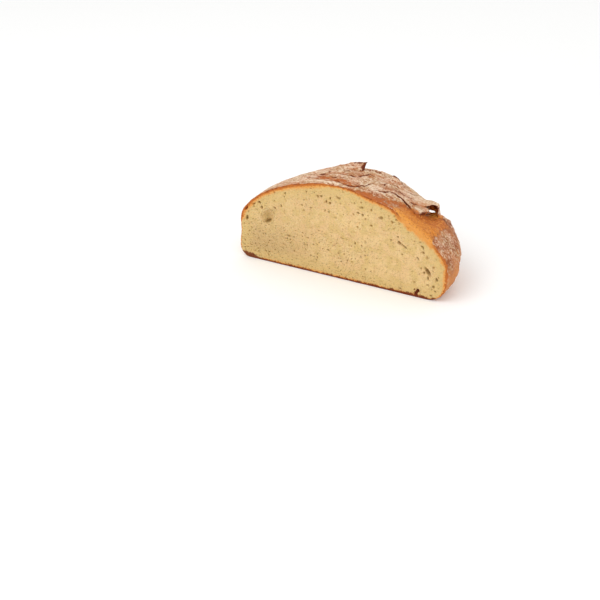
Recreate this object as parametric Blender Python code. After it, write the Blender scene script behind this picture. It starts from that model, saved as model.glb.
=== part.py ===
"""Half of a round, hearth-baked country loaf, standing on its flat base with the cut face to the front.

The loaf is one solid. Its domed crust tore open in the oven: a flap of crust stands up along the top,
a crust ear stands on the crown, and the pale crumb of the straight cut has the larger holes of the dough.
Inside this file lengths are in millimetres from the middle of the foot of the cut: X runs along the cut,
Y goes back into the loaf and Z is up. The finished part is in metres, about the middle of its base.
"""
import math

import bmesh
import bpy
from mathutils import Matrix, Vector, noise
from mathutils.bvhtree import BVHTree

MM = 0.001

# Driving sizes of the domed body
CROWN_X = -4.3            # the highest point stands a little left of the middle of the cut
CROWN_Y = 15.0            # and this far behind the cut, so slightly more than half is left
RIGHT_REACH = 120.0
LEFT_REACH = 115.4
BACK_REACH = 99.8
FRONT_REACH = 139.8
HEIGHT = 100.9
WAIST_HEIGHT = 37.0       # height of the widest level
RIGHT_FULLNESS = 1.52     # exponents of the dome: 2 is an ellipse, and less is a leaner shoulder
LEFT_FULLNESS = 1.82
BACK_FULLNESS = 2.2
FOOT_RADIUS = 11.0        # how the side turns under to the base
RIGHT_FOOT_RADIUS = 20.0
RIGHT_STARTS = (-1.2, -0.6)      # between these turns from +X, in radians, the larger foot comes in
RIGHT_ENDS = (1.5, 1.1)          # and between these it goes out again
WALL_SHARE = 0.18         # share of the lower half of the mesh on the upright side
FOOT_SHARE = 0.18         # and on the foot's round; the rest is on the base
CELLS = 30                # faces along each edge of the cube that the body is rounded from

# Slow unevenness of a hand-shaped loaf: place, spread and height of each swelling or dent
SWELLINGS = (
    ((-119.0, 0.0, 34.0), 8.0, -2.2),      # pinched waist at the left end of the cut
    ((-113.0, 0.0, 58.0), 10.0, 1.4),
    ((-119.0, 0.0, 16.0), 8.0, 0.9),
    ((55.0, 0.0, 89.0), 10.0, 3.2),        # full shoulder in front of the tear
    ((68.0, 0.0, 81.0), 6.0, -1.4),
    ((-20.0, 62.0, 97.0), 24.0, 1.3),
    ((13.0, 70.0, 92.0), 11.0, 1.2),
    ((48.0, 66.0, 84.0), 12.0, -2.0),
    ((114.0, 33.0, 37.0), 13.0, 1.9),
    ((96.0, 58.0, 12.0), 18.0, -3.0),      # the loaf tucks under at the back right
    ((-70.0, 75.0, 62.0), 22.0, 1.6),
    ((60.0, 92.0, 54.0), 16.0, -5.5),      # and falls away behind the end of the flap
    ((76.0, 74.0, 60.0), 8.0, -2.5),
    ((93.0, 57.0, 57.0), 8.0, 2.2),        # a ridge stands where the burst ends
)
HEART = Vector((CROWN_X, CROWN_Y + 12.0, 22.0))   # swellings push away from here
UNEVEN_SPREAD = 30.0
UNEVEN_HEIGHT = 0.9
FINE_SPREAD = 12.0
FINE_HEIGHT = 0.45
FINE_SHIFT = Vector((7.0, 1.0, 3.0))

# The long tear, from its start on the top to its end on the back: lip of the flap (x, y), the far
# shore where the burst dough meets the crust again (x, y), and depth under the lip.
TEAR = (
    ((28.0, 20.0), (30.0, 12.0), -1.0),
    ((36.0, 26.0), (38.0, 12.0), 1.2),
    ((43.0, 30.0), (46.0, 10.0), 1.8),
    ((50.0, 30.0), (54.0, 6.0), 2.4),
    ((58.0, 27.5), (64.0, 2.0), 3.0),
    ((66.0, 24.0), (76.0, 0.0), 3.6),
    ((71.5, 24.0), (88.0, -2.0), 4.2),
    ((75.0, 28.0), (97.0, 8.0), 4.8),
    ((76.8, 36.0), (98.0, 26.0), 6.8),
    ((76.6, 45.0), (95.0, 44.0), 10.0),
    ((72.3, 56.0), (89.0, 59.0), 15.0),
    ((66.5, 67.0), (82.0, 73.0), 17.0),
    ((60.5, 79.0), (74.0, 85.0), 13.5),
    ((56.0, 88.0), (66.0, 92.5), 8.0),
    ((53.0, 94.0), (60.0, 97.0), -1.0),
)
TEAR_UNDERCUT = 0.55      # how far the tear reaches under its lip, as a share of its depth
FLOOR_BEND = 1.3          # the floor rises to the shore by this power of the way left
SHORE_RISE = 2.6          # the cutter leaves the crust this far above it
SHORE_BEND = 4
LIP_CLEARANCE = 0.2
SKY = HEIGHT + 30.0       # cutters reach up to here

# The tear behind the ear on the crown, in the same form
BACK_TEAR = (
    ((-58.0, 64.0), (-60.0, 71.0), -1.0),
    ((-44.0, 64.5), (-46.0, 77.0), 1.6),
    ((-28.0, 65.0), (-30.0, 82.0), 3.0),
    ((-14.0, 64.5), (-14.0, 84.0), 4.2),
    ((-3.0, 63.0), (0.0, 83.0), 4.4),
    ((8.0, 63.5), (12.0, 80.0), 2.6),
    ((20.0, 66.0), (24.0, 77.0), -1.0),
)

# The ear: lifted crust that rises to the right and ends broken off. Along x: height above the dome.
EAR_RISE = ((-46.0, -0.6), (-36.0, 1.6), (-26.0, 3.6), (-17.0, 5.4), (-9.0, 7.0), (-2.5, 8.4), (0.6, 8.8))
EAR_TOE_Y = 46.0
EAR_CREST_Y = 59.0
EAR_THICKNESS = 3.4
EAR_ROOT = 5.0            # how deep the ear stands in the loaf
EAR_WAVE = 0.9            # its crest isn't straight
EAR_WAVE_TURN = 0.31
EAR_WAVE_GROWS = (-46.0, -20.0)
EAR_BREAK = 2.2           # the crest hangs over at the broken end
EAR_BREAK_GROWS = (-6.0, 0.6)
EAR_STEPS = 12

# The curled end of the flap, which arches over the tear like a hood: front edge, crown, back edge
ARCH = (
    ((60.0, 38.0, 80.0), (58.0, 50.0, 79.5), (54.0, 60.0, 77.5)),
    ((66.0, 40.0, 78.4), (64.0, 52.0, 77.8), (60.0, 62.0, 75.5)),
    ((71.0, 42.0, 77.2), (68.0, 53.0, 77.0), (64.0, 63.0, 73.0)),
    ((75.6, 44.5, 77.4), (71.5, 54.0, 77.4), (67.5, 63.5, 69.4)),
    ((78.8, 46.5, 79.0), (75.5, 54.0, 78.7), (70.5, 64.0, 65.8)),
    ((81.2, 47.5, 78.0), (79.4, 54.0, 77.4), (74.4, 63.5, 64.0)),
    ((82.4, 48.5, 75.0), (81.3, 54.0, 74.0), (77.6, 61.5, 62.0)),
    ((83.2, 49.5, 71.4), (82.4, 54.5, 70.2), (80.2, 60.0, 60.6)),
    ((84.2, 50.0, 67.4), (83.2, 55.0, 65.8), (81.2, 60.0, 60.0)),
    ((84.6, 50.5, 61.0), (83.8, 55.5, 59.0), (81.6, 60.0, 56.0)),
)
ARCH_THICKNESS = 2.4
ARCH_BULGE = 0.22         # how far the hood is rounded between its three lines
ARCH_EDGE = 0.65          # its edges are thinner
ARCH_STEPS = 22

# A thin flake that stands off the crust on the far side of the top
FLAKE_START = Vector((28.5, 60.0))
FLAKE_END = Vector((40.5, 62.0))
FLAKE_LIFT = 3.6
FLAKE_WIDTH = 10.0
FLAKE_THICKNESS = 1.4
FLAKE_ROOT = 1.6
FLAKE_PROFILE = ((0.0, 0.0), (0.45, 0.25), (1.0, 1.0))   # share of the width, share of the lift
FLAKE_STEPS = 8

# Larger holes of the crumb in the cut: x, z, half width, half height, depth, turn in degrees
HOLES = (
    (-82.4, 53.2, 7.6, 7.2, 5.0, 15.0),
    (-84.0, 46.4, 5.4, 2.0, 7.0, 22.0),
    (-109.0, 46.7, 1.7, 2.8, 3.0, -15.0),
    (-109.2, 57.0, 4.4, 1.0, 3.0, 48.0),
    (-92.7, 66.2, 2.0, 1.2, 2.6, 15.0),
    (-89.9, 61.7, 1.2, 2.0, 2.6, 20.0),
    (-58.0, 35.4, 1.3, 1.8, 3.0, -20.0),
    (20.8, 61.2, 1.4, 1.7, 2.6, 0.0),
    (65.5, 53.4, 2.9, 1.5, 3.6, -28.0),
    (70.6, 51.0, 4.2, 0.8, 2.4, -24.0),
    (94.0, 44.7, 1.3, 2.4, 2.8, 18.0),
    (95.9, 28.2, 1.5, 5.2, 3.4, 30.0),
    (101.0, 35.7, 1.6, 1.7, 2.8, 0.0),
    (104.2, 23.6, 1.0, 2.1, 2.6, 12.0),
    (85.8, 6.9, 2.1, 2.9, 3.6, -14.0),
)
BIG_HOLE = 5.0            # holes wider than this get a finer mesh

SECTION_STEPS = 26        # sections of a tear's cutter
FLOOR_STEPS = 8           # points across its floor
KNIFE_SIZE = 400.0        # side of the block that cuts away the front half

CRUST_COLOUR = (0.50, 0.27, 0.14, 1.0)
CRUMB_COLOUR = (0.78, 0.58, 0.30, 1.0)


def smooth_step(low, high, value):
    """Goes from 0 at low to 1 at high without a corner."""
    share = min(max((value - low) / (high - low), 0.0), 1.0)
    return share * share * (3.0 - 2.0 * share)


def along(points, share):
    """A smooth curve through a row of equally long tuples, read at a share of its length."""
    place = share * (len(points) - 1)
    first = min(int(place), len(points) - 2)
    t = place - first
    row = [points[min(max(first + k, 0), len(points) - 1)] for k in (-1, 0, 1, 2)]
    return tuple(
        0.5 * (2 * b + (c - a) * t + (2 * a - 5 * b + 4 * c - d) * t * t + (3 * b - a - 3 * c + d) * t ** 3)
        for a, b, c, d in zip(*row)
    )


def plan_reach(turn):
    """Distance from the crown to the widest outline, seen from above."""
    c = math.cos(turn)
    s = math.sin(turn)
    across = RIGHT_REACH if c > 0 else LEFT_REACH
    deep = BACK_REACH if s > 0 else FRONT_REACH
    return 1.0 / math.hypot(c / across, s / deep)


def dome_fullness(turn):
    """Exponent of the dome's profile in this direction from the crown."""
    c = math.cos(turn)
    side = RIGHT_FULLNESS if c > 0 else LEFT_FULLNESS
    return side * c * c + BACK_FULLNESS * (1.0 - c * c)


def body_point(direction):
    """Where a direction of the unit sphere lands on the plain body."""
    turn = math.atan2(direction.y, direction.x)
    rise = math.asin(min(max(direction.z, -1.0), 1.0))
    reach = plan_reach(turn)
    if rise >= 0.0:
        power = dome_fullness(turn)
        c = math.cos(rise)
        s = math.sin(rise)
        scale = (c ** power + s ** power) ** (-1.0 / power)
        radius = reach * c * scale
        height = WAIST_HEIGHT + (HEIGHT - WAIST_HEIGHT) * s * scale
    else:
        to_right = smooth_step(*RIGHT_STARTS, turn) * smooth_step(*RIGHT_ENDS, turn)
        foot = FOOT_RADIUS + (RIGHT_FOOT_RADIUS - FOOT_RADIUS) * to_right
        down = -rise / (math.pi / 2.0)
        base_share = WALL_SHARE + FOOT_SHARE
        if down < WALL_SHARE:
            radius = reach
            height = WAIST_HEIGHT - (WAIST_HEIGHT - foot) * down / WALL_SHARE
        elif down < base_share:
            bend = math.pi / 2.0 * (down - WALL_SHARE) / FOOT_SHARE
            radius = reach - foot + foot * math.cos(bend)
            height = foot - foot * math.sin(bend)
        else:
            radius = (reach - foot) * (1.0 - down) / (1.0 - base_share)
            height = 0.0
    return Vector((CROWN_X + radius * math.cos(turn), CROWN_Y + radius * math.sin(turn), height))


def uneven(point):
    """The plain body's point, moved by the swellings and by slow noise, but never below the base."""
    if point.z <= 0.0:
        return Vector((point.x, point.y, 0.0))
    outward = (point - HEART).normalized()
    push = UNEVEN_HEIGHT * noise.noise(point / UNEVEN_SPREAD)
    push += FINE_HEIGHT * noise.noise(point / FINE_SPREAD + FINE_SHIFT)
    for place, spread, height in SWELLINGS:
        push += height * math.exp(-(point - Vector(place)).length_squared / (2.0 * spread * spread))
    push *= smooth_step(0.0, FOOT_RADIUS, point.z)
    return point + outward * push


def new_object(name, mesh_data, collection, material):
    """Turns a bmesh in millimetres into an object in metres."""
    bmesh.ops.recalc_face_normals(mesh_data, faces=mesh_data.faces)
    bmesh.ops.scale(mesh_data, vec=(MM, MM, MM), verts=mesh_data.verts)
    mesh = bpy.data.meshes.new(name)
    mesh_data.to_mesh(mesh)
    mesh_data.free()
    mesh.materials.append(material)
    thing = bpy.data.objects.new(name, mesh)
    collection.objects.link(thing)
    return thing


def new_cutter(name, mesh_data, collection, material):
    """A helper solid that is cut away from the loaf or joined to it, and isn't shown."""
    thing = new_object(name, mesh_data, collection, material)
    thing.hide_render = True
    thing.display_type = "WIRE"
    return thing


def body_mesh():
    """The whole round loaf: a cube, divided evenly and rounded onto the body's surface."""
    mesh = bmesh.new()
    bmesh.ops.create_cube(mesh, size=2.0)
    bmesh.ops.subdivide_edges(mesh, edges=mesh.edges, cuts=CELLS - 1, use_grid_fill=True)
    for vert in mesh.verts:
        even = Vector([math.tan(math.pi / 4.0 * part) for part in vert.co])
        vert.co = uneven(body_point(even.normalized()))
    return mesh


def surface_height(tree, x, y):
    """Height of the whole loaf's crust above a place in plan."""
    hit = tree.ray_cast(Vector((x, y, 2.0 * HEIGHT)), Vector((0.0, 0.0, -1.0)))[0]
    return hit.z if hit else 0.0


def loft(rings):
    """Closes a row of rings with equally many points into one solid."""
    mesh = bmesh.new()
    rows = [[mesh.verts.new(point) for point in ring] for ring in rings]
    for near, far in zip(rows, rows[1:]):
        for i in range(len(near)):
            j = (i + 1) % len(near)
            mesh.faces.new((near[i], near[j], far[j], far[i]))
    mesh.faces.new(rows[0])
    mesh.faces.new(rows[-1])
    return mesh


def tear_cutter(tree, tear):
    """What the oven tore open: a floor that rises from under the lip to the shore, open to the sky."""
    rows = [(lip[0], lip[1], shore[0], shore[1], depth) for lip, shore, depth in tear]
    rings = []
    for k in range(SECTION_STEPS + 1):
        lip_x, lip_y, shore_x, shore_y, depth = along(rows, k / SECTION_STEPS)
        lip = Vector((lip_x, lip_y, 0.0))
        shore = Vector((shore_x, shore_y, 0.0))
        back = (lip - shore).normalized() * max(depth, 0.0) * TEAR_UNDERCUT
        ring = []
        for step in range(FLOOR_STEPS + 1):
            share = step / FLOOR_STEPS
            spot = (lip + back).lerp(shore, share)
            top = surface_height(tree, spot.x, spot.y)
            spot.z = top - depth * (1.0 - share) ** FLOOR_BEND + SHORE_RISE * share ** SHORE_BEND
            ring.append(spot)
        ring.append(Vector((shore_x, shore_y, SKY)))
        ring.append(Vector((lip_x, lip_y, SKY)))
        lip_top = max(surface_height(tree, lip_x, lip_y), ring[0].z) + LIP_CLEARANCE
        ring.append(Vector((lip_x, lip_y, lip_top)))
        rings.append(ring)
    return loft(rings)


def ear_mesh(tree):
    """The ear: a ramp of crust up to a crest, hollow behind, with its right end broken off."""
    rings = []
    for k in range(EAR_STEPS + 1):
        x, rise = along(EAR_RISE, k / EAR_STEPS)
        toe = surface_height(tree, x, EAR_TOE_Y)
        crest = surface_height(tree, x, EAR_CREST_Y) + rise
        crest_y = EAR_CREST_Y + EAR_WAVE * math.sin(EAR_WAVE_TURN * x) * smooth_step(*EAR_WAVE_GROWS, x)
        over = EAR_BREAK * smooth_step(*EAR_BREAK_GROWS, x)
        middle_y = (EAR_TOE_Y + crest_y) / 2.0
        rings.append([
            Vector((x, EAR_TOE_Y, toe - 1.2)),
            Vector((x, middle_y - 2.0, toe + 0.18 * rise)),
            Vector((x, middle_y + 2.5, 0.45 * toe + 0.55 * crest - 0.3)),
            Vector((x, crest_y - 1.2, crest - 0.2)),
            Vector((x + over, crest_y + 0.8, crest - 0.1)),
            Vector((x + over, crest_y + 0.6, crest - 1.6)),
            Vector((x, crest_y - 2.0, crest - EAR_THICKNESS - 0.4 * rise)),
            Vector((x, EAR_CREST_Y - EAR_ROOT, toe - EAR_ROOT)),
            Vector((x, EAR_TOE_Y + 1.0, toe - EAR_ROOT)),
        ])
    return loft(rings)


def arch_mesh():
    """The flap's curled end: a thin hood of crust with both its ends buried in the loaf."""
    rows = [front + crown + back for front, crown, back in ARCH]
    stations = []
    for k in range(ARCH_STEPS + 1):
        row = along(rows, k / ARCH_STEPS)
        front, crown, back = (Vector(row[i:i + 3]) for i in (0, 3, 6))
        bulge = (crown - front.lerp(back, 0.5)) * ARCH_BULGE
        near = front.lerp(crown, 0.5) + bulge
        far = crown.lerp(back, 0.5) + bulge
        stations.append([front, near, crown, far, back])
    rings = []
    for k, across in enumerate(stations):
        behind = stations[max(k - 1, 0)]
        ahead = stations[min(k + 1, ARCH_STEPS)]
        outer = []
        inner = []
        for i, point in enumerate(across):
            run = ahead[i] - behind[i]
            side = across[min(i + 1, 4)] - across[max(i - 1, 0)]
            normal = run.cross(side).normalized()
            half = 0.5 * ARCH_THICKNESS * (ARCH_EDGE if i in (0, 4) else 1.0)
            outer.append(point + half * normal)
            inner.append(point - half * normal)
        rings.append(outer + inner[::-1])
    return loft(rings)


def flake_mesh(tree):
    """The thin flake: rooted in front, its back edge standing off the crust."""
    rings = []
    for k in range(FLAKE_STEPS + 1):
        share = k / FLAKE_STEPS
        spot = FLAKE_START.lerp(FLAKE_END, share)
        lift = FLAKE_LIFT * (1.0 - share ** 3)
        width = FLAKE_WIDTH * (0.75 + 0.25 * math.sin(math.pi * share))
        ring = []
        for across, lift_share in FLAKE_PROFILE:
            y = spot.y + (across - 0.5) * width
            ring.append(Vector((spot.x, y, surface_height(tree, spot.x, y) + lift_share * lift)))
        ring[0].z -= FLAKE_ROOT
        lower = [point - Vector((0.0, 0.6, FLAKE_THICKNESS)) for point in reversed(ring)]
        lower[-1].z -= FLAKE_ROOT
        rings.append(ring + lower)
    return loft(rings)


def hole_mesh(x, z, half_width, half_height, depth, turn):
    """One hole of the crumb: a ball, stretched, turned in the cut and set with its middle in it."""
    mesh = bmesh.new()
    divisions = 3 if half_width > BIG_HOLE else 2
    bmesh.ops.create_icosphere(mesh, subdivisions=divisions, radius=1.0)
    stretch = Matrix.Diagonal((half_width, depth, half_height, 1.0))
    tilt = Matrix.Rotation(math.radians(-turn), 4, "Y")
    place = Matrix.Translation((x, 0.0, z))
    bmesh.ops.transform(mesh, matrix=place @ tilt @ stretch, verts=mesh.verts)
    return mesh


def knife_mesh():
    """The block in front of the cut."""
    mesh = bmesh.new()
    bmesh.ops.create_cube(mesh, size=KNIFE_SIZE)
    bmesh.ops.translate(mesh, vec=(0.0, -0.5 * KNIFE_SIZE, 0.0), verts=mesh.verts)
    return mesh


def combine(loaf, other, how):
    """Cuts or joins with one helper solid."""
    step = loaf.modifiers.new(other.name, "BOOLEAN")
    step.operation = how
    step.solver = "EXACT"
    step.material_mode = "TRANSFER"
    step.object = other


def food_material(name, colour, roughness):
    """A matt food surface."""
    material = bpy.data.materials.new(name)
    material.use_nodes = True
    shader = material.node_tree.nodes["Principled BSDF"]
    shader.inputs["Base Color"].default_value = colour
    shader.inputs["Roughness"].default_value = roughness
    shader.inputs["Metallic"].default_value = 0.0
    return material


def clear_scene():
    """Removes what a new file starts with."""
    for thing in list(bpy.data.objects):
        bpy.data.objects.remove(thing, do_unlink=True)


def new_collection(name):
    """A collection under the scene's own."""
    collection = bpy.data.collections.new(name)
    bpy.context.scene.collection.children.link(collection)
    return collection


def centre_on_base(loaf, helpers):
    """Moves everything so that the origin is the middle of the loaf's base."""
    evaluated = loaf.evaluated_get(bpy.context.evaluated_depsgraph_get())
    corners = [Vector(corner) for corner in evaluated.bound_box]
    middle = (corners[0] + corners[6]) / 2.0
    for thing in [loaf] + helpers:
        thing.location = (-middle.x, -middle.y, 0.0)


def main():
    """Makes the loaf."""
    clear_scene()
    parts = new_collection("country loaf")
    helpers_collection = new_collection("cutters and joined crust")
    crust = food_material("crust", CRUST_COLOUR, 0.75)
    crumb = food_material("crumb", CRUMB_COLOUR, 0.9)

    body = body_mesh()
    tree = BVHTree.FromBMesh(body)
    loaf = new_object("loaf", body, parts, crust)
    loaf.data.shade_smooth()

    helpers = []

    def helper(name, mesh_data, material, how):
        """Makes a helper solid and applies it to the loaf."""
        thing = new_cutter(name, mesh_data, helpers_collection, material)
        helpers.append(thing)
        combine(loaf, thing, how)

    helper("long tear", tear_cutter(tree, TEAR), crust, "DIFFERENCE")
    helper("back tear", tear_cutter(tree, BACK_TEAR), crust, "DIFFERENCE")
    helper("ear", ear_mesh(tree), crust, "UNION")
    helper("arch", arch_mesh(), crust, "UNION")
    helper("flake", flake_mesh(tree), crust, "UNION")
    helper("knife", knife_mesh(), crumb, "DIFFERENCE")
    for number, hole in enumerate(HOLES, start=1):
        helper("hole %02d" % number, hole_mesh(*hole), crumb, "DIFFERENCE")

    bpy.context.view_layer.update()
    centre_on_base(loaf, helpers)
    bpy.context.view_layer.update()


main()
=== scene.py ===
# %% [markdown]
# Half a country loaf
#
# The bread is a round loaf that was baked on the hearth, without a tin, and then cut straight through.
# Its crust is floured and wrinkled. In the oven it tore open along the top: a flap of crust stands up there,
# and the dough that burst out beside it baked to a smooth golden orange. The cut shows the pale fine crumb.
#
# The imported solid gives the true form. This script makes the surface that a baker would know: it takes the
# solid's own mesh, makes it much finer, works wrinkles, cracks and pores into it as real relief, and paints
# it with materials that follow that relief.

# %% Load the frame
import math

import bmesh
import bpy
import numpy as np
from mathutils import Matrix, Vector
from mathutils.kdtree import KDTree


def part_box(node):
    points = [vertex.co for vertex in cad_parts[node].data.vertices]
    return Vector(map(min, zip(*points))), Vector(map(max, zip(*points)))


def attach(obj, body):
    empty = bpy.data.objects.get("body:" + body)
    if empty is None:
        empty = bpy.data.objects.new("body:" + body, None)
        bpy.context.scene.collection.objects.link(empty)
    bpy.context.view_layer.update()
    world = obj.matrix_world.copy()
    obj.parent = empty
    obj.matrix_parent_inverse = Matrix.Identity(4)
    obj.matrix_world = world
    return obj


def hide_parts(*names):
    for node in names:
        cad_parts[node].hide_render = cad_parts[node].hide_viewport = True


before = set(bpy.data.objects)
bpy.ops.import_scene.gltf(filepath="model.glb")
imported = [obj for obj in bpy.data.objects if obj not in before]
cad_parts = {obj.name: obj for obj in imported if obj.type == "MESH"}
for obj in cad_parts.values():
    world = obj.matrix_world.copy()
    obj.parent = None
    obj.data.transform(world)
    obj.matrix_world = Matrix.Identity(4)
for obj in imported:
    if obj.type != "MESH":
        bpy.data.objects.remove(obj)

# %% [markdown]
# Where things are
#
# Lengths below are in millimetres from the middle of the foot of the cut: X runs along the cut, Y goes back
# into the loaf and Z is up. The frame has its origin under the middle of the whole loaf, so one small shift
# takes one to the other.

MM = 0.001
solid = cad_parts["loaf"]
solid_low, solid_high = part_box("loaf")
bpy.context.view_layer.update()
CUT_MIDDLE_X = 1.56                       # where the middle of the cut's foot is along the frame's X
foot = Vector((CUT_MIDDLE_X * MM, solid_low[1], 0.0))
print("loaf", [round((b - a) / MM, 1) for a, b in zip(solid_low, solid_high)], "mm")


def in_frame(x, y, z):
    """A place in the loaf's millimetres as a point of the frame."""
    return foot + Vector((x, y, z)) * MM


# %% [markdown]
# The camera
#
# The photograph looks down on the cut from the right. A 50 mm lens about 85 cm away gives the same
# perspective: the long foot of the cut runs down to the right, and the far side of the crust shows above it.
# The camera is placed first, because every later look is compared with the photograph through it.

# %% Camera at the photograph's angle
CAMERA_PLACE = (355.1, -659.1, 402.9)     # mm from the foot of the cut
CAMERA_TURN = 31.43                       # degrees to the left of straight at the cut
CAMERA_DIP = 29.70                        # degrees below level
CAMERA_ROLL = 2.17                        # the photograph leans a little

camera_data = bpy.data.cameras.new("camera")
camera_data.lens = 50.0
camera_data.sensor_width = 36.0
camera_data.clip_start = 0.01
camera_data.dof.use_dof = False
camera = bpy.data.objects.new("camera", camera_data)
bpy.context.scene.collection.objects.link(camera)
turn = Matrix.Rotation(math.radians(CAMERA_TURN), 4, "Z")
dip = Matrix.Rotation(math.radians(90.0 - CAMERA_DIP), 4, "X")
roll = Matrix.Rotation(math.radians(-CAMERA_ROLL), 4, "Z")
camera.matrix_world = Matrix.Translation(in_frame(*CAMERA_PLACE)) @ turn @ dip @ roll
bpy.context.scene.camera = camera
print("camera at", [round(v, 3) for v in camera.location])

# %% [markdown]
# Noise
#
# Bread is uneven at every size, from the slow swell of the dough to crackle finer than a millimetre. All of
# it comes from two small helpers that work on whole arrays of points: smooth gradient noise, and a field of
# scattered cells. Both draw their random numbers from a hash of whole numbers, so they give the same loaf
# each time.

# %% Noise helpers
dice = np.random.default_rng(20)
CHANCES = dice.random(65536)              # one number from 0 to 1 for each hashed cell
SLOPES = dice.random((65536, 3)) * 2.0 - 1.0


def cell_number(cells, seed):
    """Which of the dice throws belongs to each row of whole numbers."""
    mixed = cells[..., 0] * 73856093 ^ cells[..., 1] * 19349663 ^ seed * 40503
    if cells.shape[-1] == 3:
        mixed = mixed ^ cells[..., 2] * 83492791
    return (mixed ^ mixed >> 16) & 65535


def noise(points, size, seed=1):
    """Smooth noise from about -1 to 1. size is the length of its lumps, one number or one for each axis."""
    spots = points / np.array(size, float)
    corner = np.floor(spots)
    inside = spots - corner
    corner = corner.astype(np.int64)
    blend = inside ** 3 * (inside * (inside * 6.0 - 15.0) + 10.0)
    total = np.zeros(len(points))
    for k in range(8):
        step = np.array([k & 1, k >> 1 & 1, k >> 2 & 1])
        slopes = SLOPES[cell_number(corner + step, seed)]
        share = np.prod(np.where(step > 0, blend, 1.0 - blend), axis=1)
        total += share * np.einsum("ij,ij->i", slopes, inside - step)
    return total * 1.6


def plate_edges(points, size, seed=1):
    """How far each point is from the border between the two nearest of many scattered middles."""
    spots = points / np.array(size, float)
    home = np.floor(spots).astype(np.int64)
    first = np.full(len(points), 9.0)
    second = np.full(len(points), 9.0)
    for k in range(27):
        cells = home + (k % 3 - 1, k // 3 % 3 - 1, k // 9 - 1)
        middle = cells + 0.5 + SLOPES[cell_number(cells, seed)] * 0.45
        gap = np.linalg.norm(spots - middle, axis=1)
        second = np.minimum(second, np.maximum(first, gap))
        first = np.minimum(first, gap)
    return (second - first) * 0.5 * float(np.mean(size))


def ridges(points, size, seed=1):
    """Noise folded into crests: 1 on the crests, near 0 between them."""
    return 1.0 - np.minimum(np.abs(noise(points, size, seed)) * 2.6, 1.0)


def smooth_step(low, high, value):
    """Goes from 0 at low to 1 at high without a corner."""
    share = np.clip((value - low) / (high - low), 0.0, 1.0)
    return share * share * (3.0 - 2.0 * share)


test_places = np.random.default_rng(1).random((4, 3)) * 50.0
print("four values of the noise:", np.round(noise(test_places, 5.0), 2))

# %% [markdown]
# A fine skin on the solid
#
# The solid is a few thousand flat faces, and its torn lips have knife-sharp edges. A voxel remesh rebuilds it
# as an even skin of small squares that wraps the flap, its curled end and the ear in one closed surface,
# which a subdivision of long thin triangles would not do.

# %% Remesh the solid
VOXEL = 0.52                              # mm between the points of the fine skin


def welded(source):
    """A copy of a mesh as bmesh, with the points that share a place joined."""
    mesh = bmesh.new()
    mesh.from_mesh(source)
    bmesh.ops.remove_doubles(mesh, verts=mesh.verts, dist=0.01 * MM)
    return mesh


def evaluated_mesh(thing):
    """What a thing with modifiers comes to, as a mesh of its own."""
    graph = bpy.context.evaluated_depsgraph_get()
    return bpy.data.meshes.new_from_object(thing.evaluated_get(graph), depsgraph=graph)


def mesh_object(name, mesh):
    """A mesh as an object in the scene."""
    thing = bpy.data.objects.new(name, mesh)
    bpy.context.scene.collection.objects.link(thing)
    return thing


def arrays_of(mesh):
    """Points in the loaf's millimetres, and the two ends of each edge."""
    points = np.empty(len(mesh.vertices) * 3)
    mesh.vertices.foreach_get("co", points)
    points = (points.reshape(-1, 3) - np.array(foot)) / MM
    edges = np.empty(len(mesh.edges) * 2, dtype=np.int64)
    mesh.edges.foreach_get("vertices", edges)
    return points, edges.reshape(-1, 2)


def write_points(mesh, points):
    """Puts points in the loaf's millimetres back into a mesh."""
    mesh.vertices.foreach_set("co", (points * MM + np.array(foot)).ravel())
    mesh.update()


def normals_of(mesh):
    """The direction that each point of the mesh faces."""
    normals = np.empty(len(mesh.vertices) * 3, dtype=np.float32)
    mesh.vertex_normals.foreach_get("vector", normals)
    return normals.reshape(-1, 3).astype(float)


solid_mesh = welded(solid.data)
plain = bpy.data.meshes.new("plain_loaf")
solid_mesh.to_mesh(plain)
skin_object = mesh_object("loaf_skin", plain)
remesh = skin_object.modifiers.new("remesh", "REMESH")
remesh.mode = "VOXEL"
remesh.voxel_size = VOXEL * MM
skin = evaluated_mesh(skin_object)
bpy.data.objects.remove(skin_object)
points, edges = arrays_of(skin)
print("fine skin:", len(points), "points")

# %% [markdown]
# The outline of the cut
#
# Much of what follows depends on how far a point of the cut is from the crust: the baked rim is a few
# millimetres wide, and the crumb under it is denser. The outline is read from the solid: it is the longest
# loop of edges where the flat cut meets anything else. The short loops are the holes of the crumb.

# %% Find the outline of the cut
FLAT = 0.05                               # mm that counts as lying in the plane of the cut


def cut_outline(mesh):
    """Points close together along the outline of the cut, as x and z in the loaf's millimetres."""
    def in_cut(face):
        return all(abs((vert.co.y - foot.y) / MM) < FLAT for vert in face.verts)

    flat_faces = {face for face in mesh.faces if in_cut(face)}
    border = {edge for edge in mesh.edges if sum(face in flat_faces for face in edge.link_faces) == 1}
    loops = []
    while border:
        loop = [border.pop()]
        ends = list(loop[0].verts)
        while ends:
            vert = ends.pop()
            for edge in vert.link_edges:
                if edge in border:
                    border.remove(edge)
                    loop.append(edge)
                    ends.append(edge.other_vert(vert))
        loops.append(loop)
    outline = max(loops, key=lambda loop: sum(edge.calc_length() for edge in loop))
    spots = []
    for edge in outline:
        start, end = ((np.array(vert.co) - np.array(foot)) / MM for vert in edge.verts)
        for share in np.linspace(0.0, 1.0, max(int(edge.calc_length() / MM / 0.3), 1), endpoint=False):
            spots.append((start + (end - start) * share)[[0, 2]])
    return np.array(spots)


outline = cut_outline(solid_mesh)
solid_mesh.free()


def distance_to_outline(x, z):
    """Distance from places in the plane of the cut to its outline, and the nearest places on it."""
    tree = KDTree(len(outline))
    for index, (spot_x, spot_z) in enumerate(outline):
        tree.insert((spot_x, 0.0, spot_z), index)
    tree.balance()
    found = [tree.find((a, 0.0, b)) for a, b in zip(x, z)]
    return np.array([hit[2] for hit in found]), outline[[hit[1] for hit in found]]


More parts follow.
